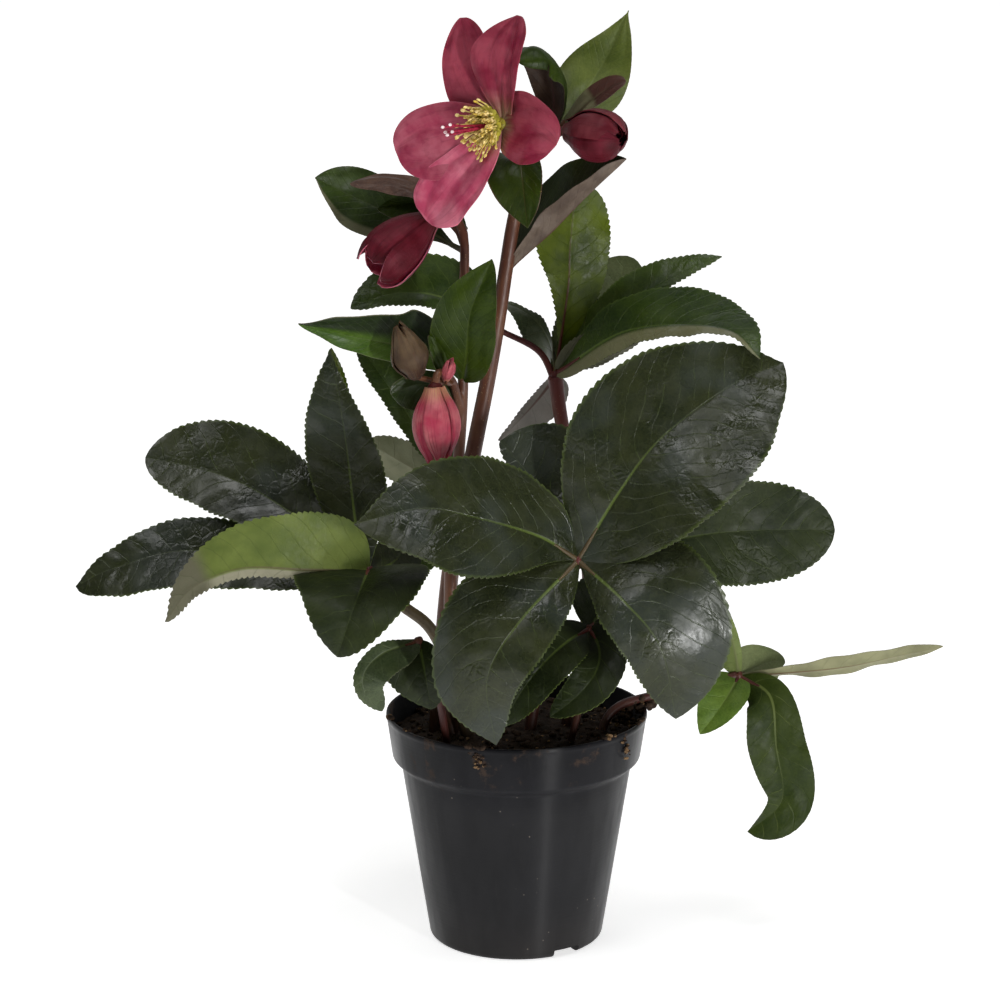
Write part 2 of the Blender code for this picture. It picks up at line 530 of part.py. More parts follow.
def make_soil(stems):
    rng = random.Random(SEED)

    def wall(z):
        low, high = FLOOR + 1.2, BAND_LOW - 2
        k = (z - low) / (high - low)
        return (BASE_R - 1.3) + (NECK_R - 1.0 - BASE_R + 1.3) * k - GAP - 0.2

    top_r = NECK_R + 3.0 - GAP - 0.9
    profile = [(0, FLOOR + GAP), (BASE_R - 3.2, FLOOR + GAP), (wall(FLOOR + 1.4), FLOOR + 1.6),
               (wall(BAND_LOW - 2), BAND_LOW - 2), (top_r, BAND_LOW + 2.2), (top_r + 1.4, SOIL_TOP - 2),
               (52, SOIL_TOP), (41, SOIL_TOP + 1), (30, SOIL_TOP + 2), (18, SOIL_TOP + 3), (0, SOIL_TOP + 3)]
    bm = bmesh.new()
    verts = [bm.verts.new((r * MM, 0, z * MM)) for r, z in profile]
    edges = [bm.edges.new(pair) for pair in zip(verts, verts[1:])]
    bmesh.ops.spin(bm, geom=verts + edges, cent=(0, 0, 0), axis=(0, 0, 1), dvec=(0, 0, 0),
                   angle=2 * math.pi, steps=18, use_merge=True)
    bmesh.ops.remove_doubles(bm, verts=bm.verts, dist=0.00001)
    for vert in bm.verts:
        if vert.co.z > (SOIL_TOP - 0.5) * MM:
            vert.co.z += rng.uniform(-1.6, 1.6) * MM
    obj = add_object("soil", bm)
    crumbs = []
    for i in range(CRUMBS):
        angle, r = i * 2.399963, 9 + 43 * math.sqrt((i + 0.5) / CRUMBS)
        z = SOIL_TOP + 1.2 + 2 * (1 - r / 55)
        crumbs.append(ball("crumb", (r * math.cos(angle), r * math.sin(angle), z),
                           rng.uniform(1.6, 3.0), levels=1, squash=0.8))
    boolean(obj, crumbs, "UNION")
    cuts = [stalk("cut", pts, radii, extra=GAP + 0.1) for pts, radii in stems]
    boolean(obj, cuts, "DIFFERENCE")
    return finish(obj, "soil", "soil", 30)


# ------------------------------------------------------------------- flower
def make_flower():
    centre, axis = Vector(FLOWER), Vector(FLOWER_AXIS).normalized()
    base = ball("base", centre, 4.4, levels=1)
    parts = [blade("sepal", spec, rows=5, thick=SEPAL_T, teeth=0, least=2.4)
             for spec in SEPALS]
    boolean(base, parts, "UNION")
    sepals = base

    def cone(at, along, r0, r1, length, sides):
        bm = bmesh.new()
        bmesh.ops.create_cone(bm, cap_ends=True, cap_tris=True, segments=sides,
                              radius1=r0 * MM, radius2=r1 * MM, depth=length * MM)
        bmesh.ops.translate(bm, vec=(0, 0, length * MM / 2), verts=bm.verts)
        turn = Vector((0, 0, 1)).rotation_difference(along)
        bmesh.ops.rotate(bm, cent=(0, 0, 0), matrix=turn.to_matrix(), verts=bm.verts)
        bmesh.ops.translate(bm, vec=at * MM, verts=bm.verts)
        return bm

    e1 = axis.orthogonal().normalized()
    e2 = axis.cross(e1)
    seat = centre + axis * 5.6
    ring = add_object("ring", cone(seat, axis, 5.8, 5.2, 2.6, 12))
    parts = []
    for i in range(STAMENS):
        angle = i * 2.399963
        tilt = math.radians(14 + 27 * (i / STAMENS))
        length = 13.5 + 5.0 * ((i * 0.377) % 1.0)
        out = e1 * math.cos(angle) + e2 * math.sin(angle)
        along = (axis * math.cos(tilt) + out * math.sin(tilt)).normalized()
        foot = seat + axis * 1.4 + out * (3.0 + 1.4 * i / STAMENS)
        parts.append(add_object("filament", cone(foot, along, 0.5, 0.42, length, 3)))
        parts.append(ball("anther", foot + along * length, 1.25, levels=1))
    for i in range(7):
        angle = i * math.tau / 7
        out = e1 * math.cos(angle) + e2 * math.sin(angle)
        along = (axis * 0.8 + out * 0.7).normalized()
        parts.append(add_object("nectary", cone(seat + out * 4.6 + axis * 0.8, along, 0.9, 1.5, 4.2, 4)))
    boolean(ring, parts, "UNION")
    boolean(ring, [add_object("bore", cone(seat - axis * 2, axis, 1.9, 1.9, 12, 8))], "DIFFERENCE")
    styles = add_object("style", cone(seat + axis * GAP, axis, 1.5, 1.2, 7, 8))
    parts = []
    for i in range(5):
        angle = i * math.tau / 5 + 0.4
        out = e1 * math.cos(angle) + e2 * math.sin(angle)
        along = (axis + out * 0.12).normalized()
        foot = seat + axis * 5.5 + out * 0.5
        parts.append(add_object("line", cone(foot, along, 0.55, 0.45, 26 + (i % 3) * 1.5, 5)))
    boolean(styles, parts, "UNION")
    return sepals, ring, styles


def make_bud(foot, mouth, radii, count, thick, lap):
    foot, mouth = Vector(foot), Vector(mouth)
    axis = mouth - foot
    base = ball("base", foot + axis.normalized() * radii[0] * 0.3, radii[0] + 1.6 * lap, levels=1)
    parts = []
    for i in range(count):
        reach = 1.0 - 0.06 * (i % 2)
        parts.append(petal(foot, axis, axis.length * reach, radii, i * math.tau / count + 0.3,
                           math.tau / count * 0.62, lap, thick, 3 if count > 3 else 2, 2 if count > 4 else 1))
    boolean(base, parts, "UNION")
    return base


# ----------------------------------------------------------------- assembly
def build():
    clear_scene()
    stems = {}
    for name, lines in STEMS:
        stems[name] = lines
    for name, points, radii, _ in LEAVES:
        stems[name + "_stalk"] = [(points, radii)]
    stems["leaf_right_stalk"].append(SIDE_STALK)
    feet = [lines[0] for lines in stems.values()]

    make_pot()
    make_soil(feet)

    for name, lines in stems.items():
        obj = stalk(name, *lines[0])
        if len(lines) > 1:
            boolean(obj, [stalk("side", pts, radii) for pts, radii in lines[1:]], "UNION")
        finish(obj, name, "stalk", 50)

    def fat(key):
        return [stalk("cut", pts, radii, extra=GAP + 0.1, stretch=GAP) for pts, radii in stems[key]]

    for name, points, radii, leaflets in LEAVES:
        hub = ball("hub", leaflets[0][0][0], HUB_R, levels=1)
        boolean(hub, [leaflet(spec) for spec in leaflets], "UNION")
        boolean(hub, fat(name + "_stalk"), "DIFFERENCE")
        finish(hub, name + "_blades", "leaf", 60)

    side = blade("side", SIDE_LEAFLET, least=1.6)
    boolean(side, fat("leaf_right_stalk"), "DIFFERENCE")
    finish(side, "leaf_right_far_leaflet", "leaf", 60)

    for spec in BRACTS:
        name, mat = spec[:2]
        small = max(spec[4][0], spec[5][0]) < 9
        obj = blade(name, spec[2:], rows=4 if small else 5, teeth=0 if small else 1, least=1.4)
        boolean(obj, fat("flower_stem_left" if "left" in name else "flower_stem_right"), "DIFFERENCE")
        finish(obj, name, mat, 60)

    sepals, stamens, styles = make_flower()
    boolean(sepals, fat("flower_stem_right"), "DIFFERENCE")
    finish(sepals, "open_flower_sepals", "rose", 60)
    finish(stamens, "open_flower_stamens", "stamen", 50)
    finish(styles, "open_flower_styles", "style", 50)

    for name, foot, mouth, radii, count, mat in BUDS:
        obj = make_bud(foot, mouth, radii, count, *((0.7, 0.8) if radii[1] > 4 else (0.6, 0.55)))
        boolean(obj, fat("flower_stem_right" if name == "bud_right" else "flower_stem_left"),
                "DIFFERENCE")
        finish(obj, name, mat, 60)


build()
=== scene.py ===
# %% [markdown]
# # A hellebore in its nursery pot
# The plant is already there as plain solids: every leaf, stalk, sepal and the pot, at its
# real size. This lesson dresses those solids. Each piece is made again from the same few
# numbers, but with a fine mesh, so that it can carry teeth, veins and soft folds, and then
# gets a finish that is mixed from noise and lines.

# %% Load the solid model
import math
import random

import bmesh
import bpy
import numpy as np
from mathutils import Matrix, Vector, noise


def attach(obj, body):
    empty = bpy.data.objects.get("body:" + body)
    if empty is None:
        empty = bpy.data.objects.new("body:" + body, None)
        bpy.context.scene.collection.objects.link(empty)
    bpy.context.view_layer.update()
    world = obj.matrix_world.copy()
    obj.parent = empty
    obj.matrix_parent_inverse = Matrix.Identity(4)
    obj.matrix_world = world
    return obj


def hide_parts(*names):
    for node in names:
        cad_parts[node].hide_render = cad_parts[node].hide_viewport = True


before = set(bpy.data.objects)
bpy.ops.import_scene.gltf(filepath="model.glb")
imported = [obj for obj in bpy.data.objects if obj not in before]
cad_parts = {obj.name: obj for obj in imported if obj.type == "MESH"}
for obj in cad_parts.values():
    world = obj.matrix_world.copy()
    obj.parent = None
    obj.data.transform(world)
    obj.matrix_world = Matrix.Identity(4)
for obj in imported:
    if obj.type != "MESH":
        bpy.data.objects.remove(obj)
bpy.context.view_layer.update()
MM = 0.001

# %% [markdown]
# ## Camera and light
# The plant is seen from a little above with a long lens, so its uprights stay upright. A
# long lens needs a far camera: 1.8 m away, turned down 14 degrees. Wide soft lights suit
# leathery leaves. One tall narrow light at the right draws the upright streak on the
# plastic pot: the wall is brushed round its axis, and that pulls the mirrored light up
# and down into a line.

# %% Camera and lamps
CAMERA_PLACE, CAMERA_DIP, CAMERA_LENS = (-0.0081, -1.8, 0.683), 14.33, 136.98
ROOM_FRONT, ROOM_BACK = 0.08, 0.20
LAMPS = [  # name, place, what it looks at, width, height, power
    ("top_light", (0.25, -0.45, 2.1), (0, 0, 0.25), 0.9, 0.7, 12.5),
    ("tall_light", (0.55, -0.95, 0.14), (0, 0, 0.10), 0.04, 0.26, 6),
    ("left_light", (-0.9, -1.0, 2.0), (0, 0, 0.25), 0.7, 0.7, 9.5),
    ("sweep_light", (0, 3.0, 2.2), (0, 3.0, 0), 4.0, 2.4, 22),
]


def link(name, data):
    """An object for a mesh, a lamp or a camera, put in the scene at the origin."""
    obj = bpy.data.objects.new(name, data)
    bpy.context.scene.collection.objects.link(obj)
    return obj


def make_camera():
    data = bpy.data.cameras.new("camera")
    data.lens, data.sensor_width, data.clip_start, data.clip_end = CAMERA_LENS, 36.0, 0.1, 40
    camera = bpy.context.scene.camera = link("camera", data)
    camera.location = CAMERA_PLACE
    camera.rotation_euler = (math.radians(90 - CAMERA_DIP), 0, 0)


def make_lamp(name, place, aim, width, height, power):
    data = bpy.data.lights.new(name, "AREA")
    data.shape, data.size, data.size_y, data.energy = "RECTANGLE", width, height, power
    lamp = link(name, data)
    lamp.location = place
    lamp.rotation_euler = (Vector(aim) - Vector(place)).to_track_quat("-Z", "Y").to_euler()


def make_room():
    """Soft light from all round, dimmer on the viewer's side."""
    world = bpy.context.scene.world = bpy.data.worlds.new("soft_room")
    world.use_nodes = True
    tree = world.node_tree
    way, split, fade = (tree.nodes.new("ShaderNode" + kind) for kind in ("TexCoord", "SeparateXYZ", "MapRange"))
    fade.interpolation_type = "SMOOTHSTEP"
    for key, value in enumerate((-0.7, 0.7, ROOM_FRONT, ROOM_BACK), 1):
        fade.inputs[key].default_value = value
    glow = tree.nodes["Background"].inputs
    glow["Color"].default_value = (1, 1, 1, 1)
    for start, end in ((way.outputs["Generated"], split.inputs[0]), (split.outputs["Y"], fade.inputs[0]),
                       (fade.outputs[0], glow["Strength"])):
        tree.links.new(start, end)


make_camera()
make_room()
for lamp in LAMPS:
    make_lamp(*lamp)
bpy.context.scene.view_settings.view_transform = "Standard"
print("camera and", len(LAMPS), "lamps")

# %% [markdown]
# ## Mixing finishes
# A finish is a small graph of nodes. Writing every node out by hand hides the idea, so this
# helper adds one node per call and hands back what comes out, which can be added and
# multiplied like a number. A recipe then reads like a sum: noise, then a range, then a coat of
# colour over what is there. Colours are written in thousandths of full light, because most
# of this plant is dark.

# %% A helper that mixes a finish
SKIN = {}


class Value:
    """What comes out of a node. It can be added, taken away and multiplied like a number."""

    def __init__(self, finish, socket):
        self.finish, self.socket = finish, socket

    def __add__(self, other):
        return self.finish.math("ADD", self, other)

    def __sub__(self, other):
        return self.finish.math("SUBTRACT", self, other)

    def __mul__(self, other):
        return self.finish.math("MULTIPLY", self, other)

    def __abs__(self):
        return self.finish.math("ABSOLUTE", self)


class Finish:
    def __init__(self, name, colour, **settings):
        self.material = SKIN[name] = bpy.data.materials.new(name)
        self.material.use_nodes = True
        self.tree = self.material.node_tree
        self.shader = self.tree.nodes["Principled BSDF"]
        self.colour = colour
        for key, value in settings.items():
            self.set(key.replace("_", " ").title().replace("Ior", "IOR"), value)

    def plug(self, socket, value):
        if isinstance(value, Value):
            self.tree.links.new(value.socket, socket)
        elif socket.type == "RGBA":
            socket.default_value = (*(part / 1000 for part in value), 1.0)
        else:
            socket.default_value = value

    def set(self, key, value):
        self.plug(self.shader.inputs[key], value)

    def node(self, kind, inputs, out=0, **options):
        node = self.tree.nodes.new("ShaderNode" + kind)
        for key, value in options.items():
            setattr(node, key, value)
        for key, value in inputs.items():
            self.plug(node.inputs[key], value)
        return Value(self, node.outputs[out])

    def place(self):
        return self.node("TexCoord", {}, "Object")

    def attribute(self, name):
        return self.node("Attribute", {}, "Vector", attribute_name=name)

    def split(self, vector):
        return [self.node("SeparateXYZ", {0: vector}, k) for k in range(3)]

    def join(self, x, y, z=0.0):
        return self.node("CombineXYZ", {0: x, 1: y, 2: z})

    def stretch(self, vector, *scale):
        return self.node("Mapping", {"Vector": vector, "Scale": scale})

    def math(self, operation, a, b=0.0):
        return self.node("Math", {0: a, 1: b, 2: 0.0}, operation=operation)

    def span(self, value, low, high, to_low=0.0, to_high=1.0, smooth=True):
        """The run of a value from low to high, as a run from to_low to to_high."""
        return self.node("MapRange", {"Value": value, 1: low, 2: high, 3: to_low, 4: to_high},
                         interpolation_type="SMOOTHSTEP" if smooth else "LINEAR", clamp=True)

    def noise(self, where, scale, detail=2.0, rough=0.5, warp=0.0, out="Fac"):
        return self.node("TexNoise", {"Vector": where, "Scale": scale, "Detail": detail,
                                      "Roughness": rough, "Distortion": warp}, out)

    def cells(self, where, scale, feature="DISTANCE_TO_EDGE"):
        return self.node("TexVoronoi", {"Vector": where, "Scale": scale}, "Distance", feature=feature)

    def warp(self, where, scale, amount):
        """The same place, pushed aside a little by noise."""
        push = self.noise(where, scale, out="Color")
        push = self.node("VectorMath", {0: push, 1: (0.5, 0.5, 0.5)}, operation="SUBTRACT")
        push = self.node("VectorMath", {0: push, "Scale": amount}, operation="SCALE")
        return self.node("VectorMath", {0: where, 1: push}, operation="ADD")

    def coat(self, share, colour):
        """A new colour laid over the colour so far, as much as share says."""
        self.colour = self.node("Mix", {0: share, 6: self.colour, 7: colour}, 2, data_type="RGBA")

    def done(self, height=None, distance=0.0, strength=0.0):
        """The last step: the colour and the fine relief are plugged into the shader."""
        self.set("Base Color", self.colour)
        if height:
            self.set("Normal", self.node("Bump", {"Strength": strength, "Distance": distance,
                                                  "Height": height}))


def tint(colour, share):
    return tuple(share * part for part in colour)


print("finish helper ready")

# %% [markdown]
# ## Leaf skin
# A hellebore leaflet is leathery: very dark and shiny above, pale and dull below. One rib
# runs up the middle, side veins leave it at a slant, and between them a net of fine veins
# breaks the shine into small panes. A painted texture could show that, but a rule fits every
# leaf: each vertex keeps how far it lies from the rib and how far up the leaf, and the lines
# are drawn from those two lengths.

# %% The upper face
SHIFT = 61.0  # mm between the noise of one blade and of the next


def leaf_place(f, scale, amount):
    """Lengths on a blade in mm, its shares from -1 to 1 and 0 to 1, and a spot for noise."""
    x, y, number = f.split(f.attribute("place"))
    spot = f.warp(f.join(x, y + number * SHIFT), scale, amount)
    return x, number, spot, f.split(f.attribute("share"))


def vein_lines(f, spacing):
    """Masks of the midrib and the side veins."""
    x, _, spot, (s, v, count) = leaf_place(f, 0.5, 1.2)
    count = count + f.noise(spot, 0.3) * 0.16
    side = f.span(f.math("PINGPONG", count, 0.5) * spacing, 0.08, 0.50, 1.0, 0.0)
    width = f.span(v, 0.0, 0.85, 1.25, 0.22, smooth=False)
    rib = f.span(f.math("DIVIDE", abs(x), width), 0.35, 1.0, 1.0, 0.0)
    return spot, s, v, side, rib


def leaf_skin(name, dark, light, rib_colour, gloss, spacing=10.0, vein=0.30, net=1.0,
              rib_share=0.85, half=None, rim=0.30, shine=0.28, painted_sheen=0.0):
    """The upper face. half is (side of the rib, colour, from, to) where one side shows another colour: paler on
    most leaves, darker in the cupped bract, as painted shade.
    """
    f = Finish(name, dark, specular_ior_level=shine)
    spot, s, v, side, rib = vein_lines(f, spacing)
    edge = abs(s)
    fine = f.noise(spot, 0.9, 3.0, 0.6)
    web, small = f.cells(spot, 0.22), f.cells(spot, 0.62)
    f.coat(f.span(f.noise(spot, 0.04, 4.0, 0.65), 0.32, 0.68), light)
    f.coat(f.span(fine, 0.3, 0.8, 0.0, 0.25), tint(light, 1.9))
    # Broad bluish-grey patches laid into the colour: painted sheen.
    if painted_sheen:
        f.coat(f.span(f.noise(spot, 0.022), 0.48, 0.62, 0.0, painted_sheen), (40, 49, 47))
    if half:
        f.coat(f.span(s * half[0], *half[2:]), half[1])
    line = f.math("MAXIMUM", f.span(web, 0.0, 0.07, 1.0, 0.0), f.span(small, 0.0, 0.10, 0.55, 0.0))
    f.coat(line * (0.16 * net), tint(light, 2.2))
    patchy = side * f.span(f.noise(spot, 0.13, 1.0), 0.40, 0.66, 0.12, 1.0)
    f.coat(patchy * f.span(edge, 0.55, 0.95, 1.0, 0.25) * vein, rib_colour)
    f.coat(rib * f.span(v, 0.05, 0.70, rib_share, 0.12), rib_colour)
    f.coat(f.span(edge, 0.955, 0.995, 0.0, rim), rib_colour)
    dust = f.span(f.cells(spot, 0.16, "F1"), 0.02, 0.045, 1.0, 0.0) * f.span(fine, 0.5, 0.56)
    f.coat(dust * (0.45 * net), (420, 420, 380))
    f.set("Roughness", f.span(f.noise(spot, 0.09, 3.0), 0.32, 0.68, gloss - 0.08, gloss + 0.12))
    pane = f.span(web, 0.0, 0.20) * (0.55 * net) + f.span(small, 0.0, 0.25) * (0.10 * net)
    pane = pane * f.span(f.noise(spot, 0.035, 1.0), 0.46, 0.62, 0.12, 1.0)
    height = pane - f.math("MAXIMUM", side, rib) * 0.40 + fine * 0.12 + f.noise(spot, 0.13) * 1.5
    f.done(height, 0.0004, 0.62)


print("upper face ready")

# %% The lower face and the sepals
def under_skin(name, dark, light, rib_colour, spacing=10.0, rough=0.5, tip=None, half=None, vein=0.22):
    """The lower face. tip is (where it starts, colour), half as for the upper face."""
    f = Finish(name, dark, specular_ior_level=0.18)
    spot, s, v, side, rib = vein_lines(f, spacing)
    line = f.span(f.cells(spot, 0.25), 0.0, 0.08, 1.0, 0.0)
    f.coat(f.span(f.noise(spot, 0.05, 3.0, 0.6), 0.32, 0.68), light)
    if half:
        f.coat(f.span(s * half[0], *half[2:]), half[1])
    if tip:
        f.coat(f.span(v, tip[0] - 0.04, tip[0] + 0.04), tip[1])
    f.coat(line * (0.35 * vein), tint(light, 0.45))
    f.coat(side * vein, tint(dark, 0.5))
    f.coat(rib * f.span(v, 0.2, 0.9, 0.9, 0.3), rib_colour)
    f.set("Roughness", f.span(f.noise(spot, 0.4), 0.3, 0.7, rough - 0.06, rough + 0.1))
    f.done(side * 0.4 + line * 0.12 + f.noise(spot, 0.14) * 1.4, 0.0003, 0.8)


def sepal_skin(name, deep, rose, pale, base, foot=0.34, dark_edge=0.0, rim=0.45, fine=0.30, shine=0.16):
    """Fine veins fan out from the foot; the colour fades to cream at the foot."""
    f = Finish(name, rose, roughness=0.46, specular_ior_level=shine, subsurface_weight=0.10,
               subsurface_scale=0.0012)
    _, number, spot, (s, v, _) = leaf_place(f, 0.4, 1.5)
    vein = f.noise(f.join(s * 7.0, v * 1.1, number), 1.5, 4.0, 0.6, 0.5)
    mottle = f.noise(spot, 0.16, 3.0, 0.6)
    edge = f.math("MAXIMUM", abs(s), v)
    f.coat(f.span(f.noise(spot, 0.055, 3.0, 0.55), 0.36, 0.64), pale)
    f.coat(f.span(mottle, 0.46, 0.70, 0.0, 0.24), deep)
    f.coat(f.span(vein, 0.50, 0.70, 0.0, fine), deep)
    f.coat(f.span(edge, 0.80, 1.0, 0.0, dark_edge), deep)
    f.coat(f.span(v, 0.02, foot, 1.0, 0.0) * f.span(vein, 0.35, 0.60, 0.95, 0.35), base)
    f.coat(f.span(edge, 0.972, 0.990, 0.0, rim), tint(pale, 1.25))
    f.done(vein * 0.7 + mottle * 1.2, 0.0005, 0.8)


print("lower face and sepals ready")

# %% [markdown]
# Every kind of leaf on the plant gets its own finish above and below: a dark colour, a
# lighter one that clouds it, the colour of the rib, and then how it differs from the others.

# %% Finishes of leaves and bracts
leaf_skin("old_leaf", (9, 12.5, 5), (21, 25, 9), (100, 140, 30), 0.29, vein=0.17, shine=0.30, painted_sheen=0.36)
leaf_skin("far_leaf", (7, 12, 3), (18, 25, 6), (80, 110, 25), 0.50, shine=0.18)
leaf_skin("side_leaf", (12, 27, 3), (35, 57, 7), (120, 170, 40), 0.40)
leaf_skin("arched_leaf", (10, 24, 3), (30, 52, 6), (100, 150, 30), 0.40, half=(1, (150, 150, 75), 0.05, 0.35))
leaf_skin("grey_leaf", (28, 42, 18), (60, 78, 34), (120, 150, 60), 0.42)
leaf_skin("young_leaf", (11, 21, 2), (28, 42, 5), (120, 150, 40), 0.46, net=0.2, vein=0.35, rim=0.10,
          shine=0.14)
leaf_skin("bright_leaf", (55, 105, 12), (115, 180, 26), (150, 200, 50), 0.48, net=0.2, vein=0.20, rim=0.10,
          shine=0.22)
leaf_skin("pale_leaf", (90, 115, 45), (150, 175, 75), (170, 200, 90), 0.50, net=0.2, vein=0.20, rim=0.20,
          shine=0.20)
leaf_skin("low_leaf", (5, 9, 2), (14, 20, 5), (70, 100, 20), 0.42, shine=0.18)
leaf_skin("bract_top", (8, 18, 1), (27, 45, 2), (90, 120, 20), 0.42, spacing=6.0, net=0.3, vein=0.08,
          rib_share=0.3, rim=0.15, shine=0.15)
leaf_skin("tall_bract", (50, 72, 11), (98, 122, 24), (140, 170, 60), 0.45, spacing=6.0, net=0.2, vein=0.10,
          rib_share=0.5, rim=0.15, shine=0.22)
leaf_skin("red_rim_bract", (6, 13, 2), (23, 36, 3), (130, 65, 35), 0.38, spacing=6.0, net=0.4, vein=0.06,
          rib_share=0.1, rim=0.8, shine=0.14)
leaf_skin("dark_bract", (8, 15, 3), (22, 36, 6), (100, 100, 40), 0.38, spacing=6.0, net=0.5, vein=0.12,
          rib_share=0.3, rim=0.5)
# The cupped bract's darker half is painted shade in the hollow of the cup.
leaf_skin("cupped_bract_painted_shade", (22, 55, 5), (60, 110, 12), (140, 150, 70), 0.38, spacing=6.0, net=0.3, vein=0.10,
          half=(1, (10, 18, 5), 0.05, 0.35), rim=0.8, shine=0.25)
leaf_skin("pale_rim_bract", (12, 22, 5), (34, 55, 10), (120, 130, 60), 0.42, spacing=6.0, net=0.3, vein=0.10,
          half=(-1, (115, 115, 65), 0.66, 0.80), shine=0.22)
leaf_skin("brown_bract", (40, 18, 12), (90, 46, 28), (120, 60, 45), 0.45, spacing=6.0, net=0.3, vein=0.10,
          rib_share=0.3, rim=0.15)
under_skin("two_tone_bract", (130, 130, 65), (200, 190, 110), (90, 70, 40), spacing=6.0, rough=0.38,
           tip=(0.55, (60, 26, 20)), vein=0.10)
under_skin("leaf_under", (92, 131, 27), (152, 202, 47), (140, 170, 50))
under_skin("bent_under", (79, 109, 21), (130, 165, 35), (100, 80, 40), tip=(0.72, (110, 106, 66)),
           half=(1, (230, 220, 150), 0.05, 0.35))
under_skin("red_under", (25, 41, 1), (76, 105, 3), (60, 8, 8), rough=0.42, vein=0.16)
under_skin("grey_under", (75, 78, 46), (130, 130, 80), (70, 28, 22))
under_skin("purple_under", (210, 195, 175), (300, 280, 250), (120, 60, 50))
under_skin("beige_under", (155, 153, 82), (240, 238, 130), (120, 80, 40), vein=0.12)
under_skin("dull_under", (140, 150, 85), (215, 220, 135), (120, 110, 60), vein=0.12)
under_skin("lime_under", (110, 150, 40), (180, 220, 70), (140, 160, 60), vein=0.15)
under_skin("hood_under", (25, 14, 9), (48, 28, 16), (50, 20, 15), spacing=6.0)
under_skin("bract_under", (70, 48, 36), (150, 115, 88), (80, 35, 25), spacing=6.0, rough=0.40, vein=0.08)
print("leaf finishes:", len(SKIN))

# %% [markdown]
# ## One sheet for every leaf and petal
# A leaflet, a bract and a sepal are the same thing to a modeller: a strip laid along a rib,
# wide in the middle, folded a little along the rib and curled. The strip starts as a flat
# grid, is given its second face by an extrusion, and is then laid along the rib. Rows come
# in threes, because a saw tooth needs a foot, a slope and a tip that looks forward.

# %% The rib line and the outline
RIB_STEPS = 60


def line_through(points, count):
    """Even steps on a smooth line through a few points, and its length."""
    p = np.array(points, float)
    if len(p) == 3:
        u = np.linspace(0, 1, 241)[:, None]
        mid = 2 * p[1] - (p[0] + p[2]) / 2
        line = (1 - u) ** 2 * p[0] + 2 * u * (1 - u) * mid + u ** 2 * p[2]
    else:
        p = np.vstack([2 * p[0] - p[1], p, 2 * p[-1] - p[-2]])
        u = np.linspace(0, 1, 60, endpoint=False)[:, None]
        runs = [0.5 * (2 * b + (c - a) * u + (2 * a - 5 * b + 4 * c - d) * u ** 2
                       + (3 * b - a - 3 * c + d) * u ** 3)
                for a, b, c, d in zip(p, p[1:], p[2:], p[3:])]
        line = np.vstack(runs + [p[-2:-1]])
    run = np.concatenate([[0], np.cumsum(np.linalg.norm(np.diff(line, axis=0), axis=1))])
    want = np.linspace(0, run[-1], count + 1)
    return np.stack([np.interp(want, run, line[:, k]) for k in range(3)], axis=1), run[-1]


def fullness(v, foot, tip):
    """Width along the length, 1 at the widest."""
    top = foot / (foot + tip)
    v = np.clip(v, 1e-4, 1 - 1e-4)
    return (v / top) ** foot * ((1 - v) / (1 - top)) ** tip


def unit(rows):
    return rows / np.maximum(np.linalg.norm(rows, axis=-1, keepdims=True), 1e-9)


def column(row):
    return row[:, None]


print("rib and outline ready")

# %% From a bmesh to a piece
made = {}


def piece(name, bm, *finishes, sharp=None):
    """The mesh made an object; edges that turn more than sharp degrees stay hard."""
    bmesh.ops.recalc_face_normals(bm, faces=bm.faces)
    mesh = bpy.data.meshes.new(name)
    bm.to_mesh(mesh)
    bm.free()
    for finish in finishes:
        mesh.materials.append(SKIN[finish])
    mesh.shade_smooth()
    if sharp:
        mesh.set_sharp_from_angle(angle=math.radians(sharp))
    return link(name, mesh)


def laid(name, finishes, cols, rows, rule):
    """A slab of two faces. rule puts its points in place and gives what the finishes read."""
    bm = bmesh.new()
    bmesh.ops.create_grid(bm, x_segments=2 * cols, y_segments=rows, size=1.0)
    new = bmesh.ops.extrude_face_region(bm, geom=bm.faces[:])["geom"]
    bmesh.ops.translate(bm, vec=(0, 0, 1), verts=[g for g in new if isinstance(g, bmesh.types.BMVert)])
    for face in bm.faces:
        face.material_index = 0 if sum(v.co.z for v in face.verts) > 3.5 else 1
    obj = piece(name, bm, *finishes)
    mesh = obj.data
    co = np.zeros(len(mesh.vertices) * 3)
    mesh.vertices.foreach_get("co", co)
    x, y, top = co.reshape(-1, 3).T
    place, lengths, shares = rule(x, (y + 1) / 2, top)
    mesh.vertices.foreach_set("co", (place * MM).ravel())
    for key, values in (("place", lengths), ("share", shares)):
        values = np.stack(np.broadcast_arrays(*values), axis=1).astype(np.float32)
        mesh.attributes.new(key, "FLOAT_VECTOR", "POINT").data.foreach_set("vector", values.ravel())
    mesh.set_sharp_from_angle(angle=math.radians(75))
    mesh.update()
    return obj


def gather(name, objects):
    """Several meshes made one piece."""
    objects[0].name = objects[0].data.name = name
    if len(objects) > 1:
        with bpy.context.temp_override(active_object=objects[0], object=objects[0],
                                       selected_objects=objects, selected_editable_objects=objects):
            bpy.ops.object.join()
    return objects[0]


def keep(piece, node):
    """Hand a finished piece to the model in place of its plain solid."""
    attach(piece, "root")
    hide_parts(node)
    made[piece.name] = sum(len(p.vertices) - 2 for p in piece.data.polygons)
    print(f"{piece.name}: {made[piece.name]} triangles")


print("pieces ready")

# %% [markdown]
# Raised parts follow the real leaf: a groove over the midrib, a shallow groove over each
# side vein with the skin puffed up between them, and a slow wave that grows to the margin.

# %% The relief of a skin
# Spacing and slant of the side veins, puff between them, groove of the rib, wave, pleats.
LEAF = (10.0, 0.75, 0.42, 0.40, 0.75, 0.0)
BRACT = (6.0, 1.4, 0.16, 0.30, 0.9, 0.6)
SEPAL = (60.0, 0.0, 0.0, 0.30, 0.9, 1.6)


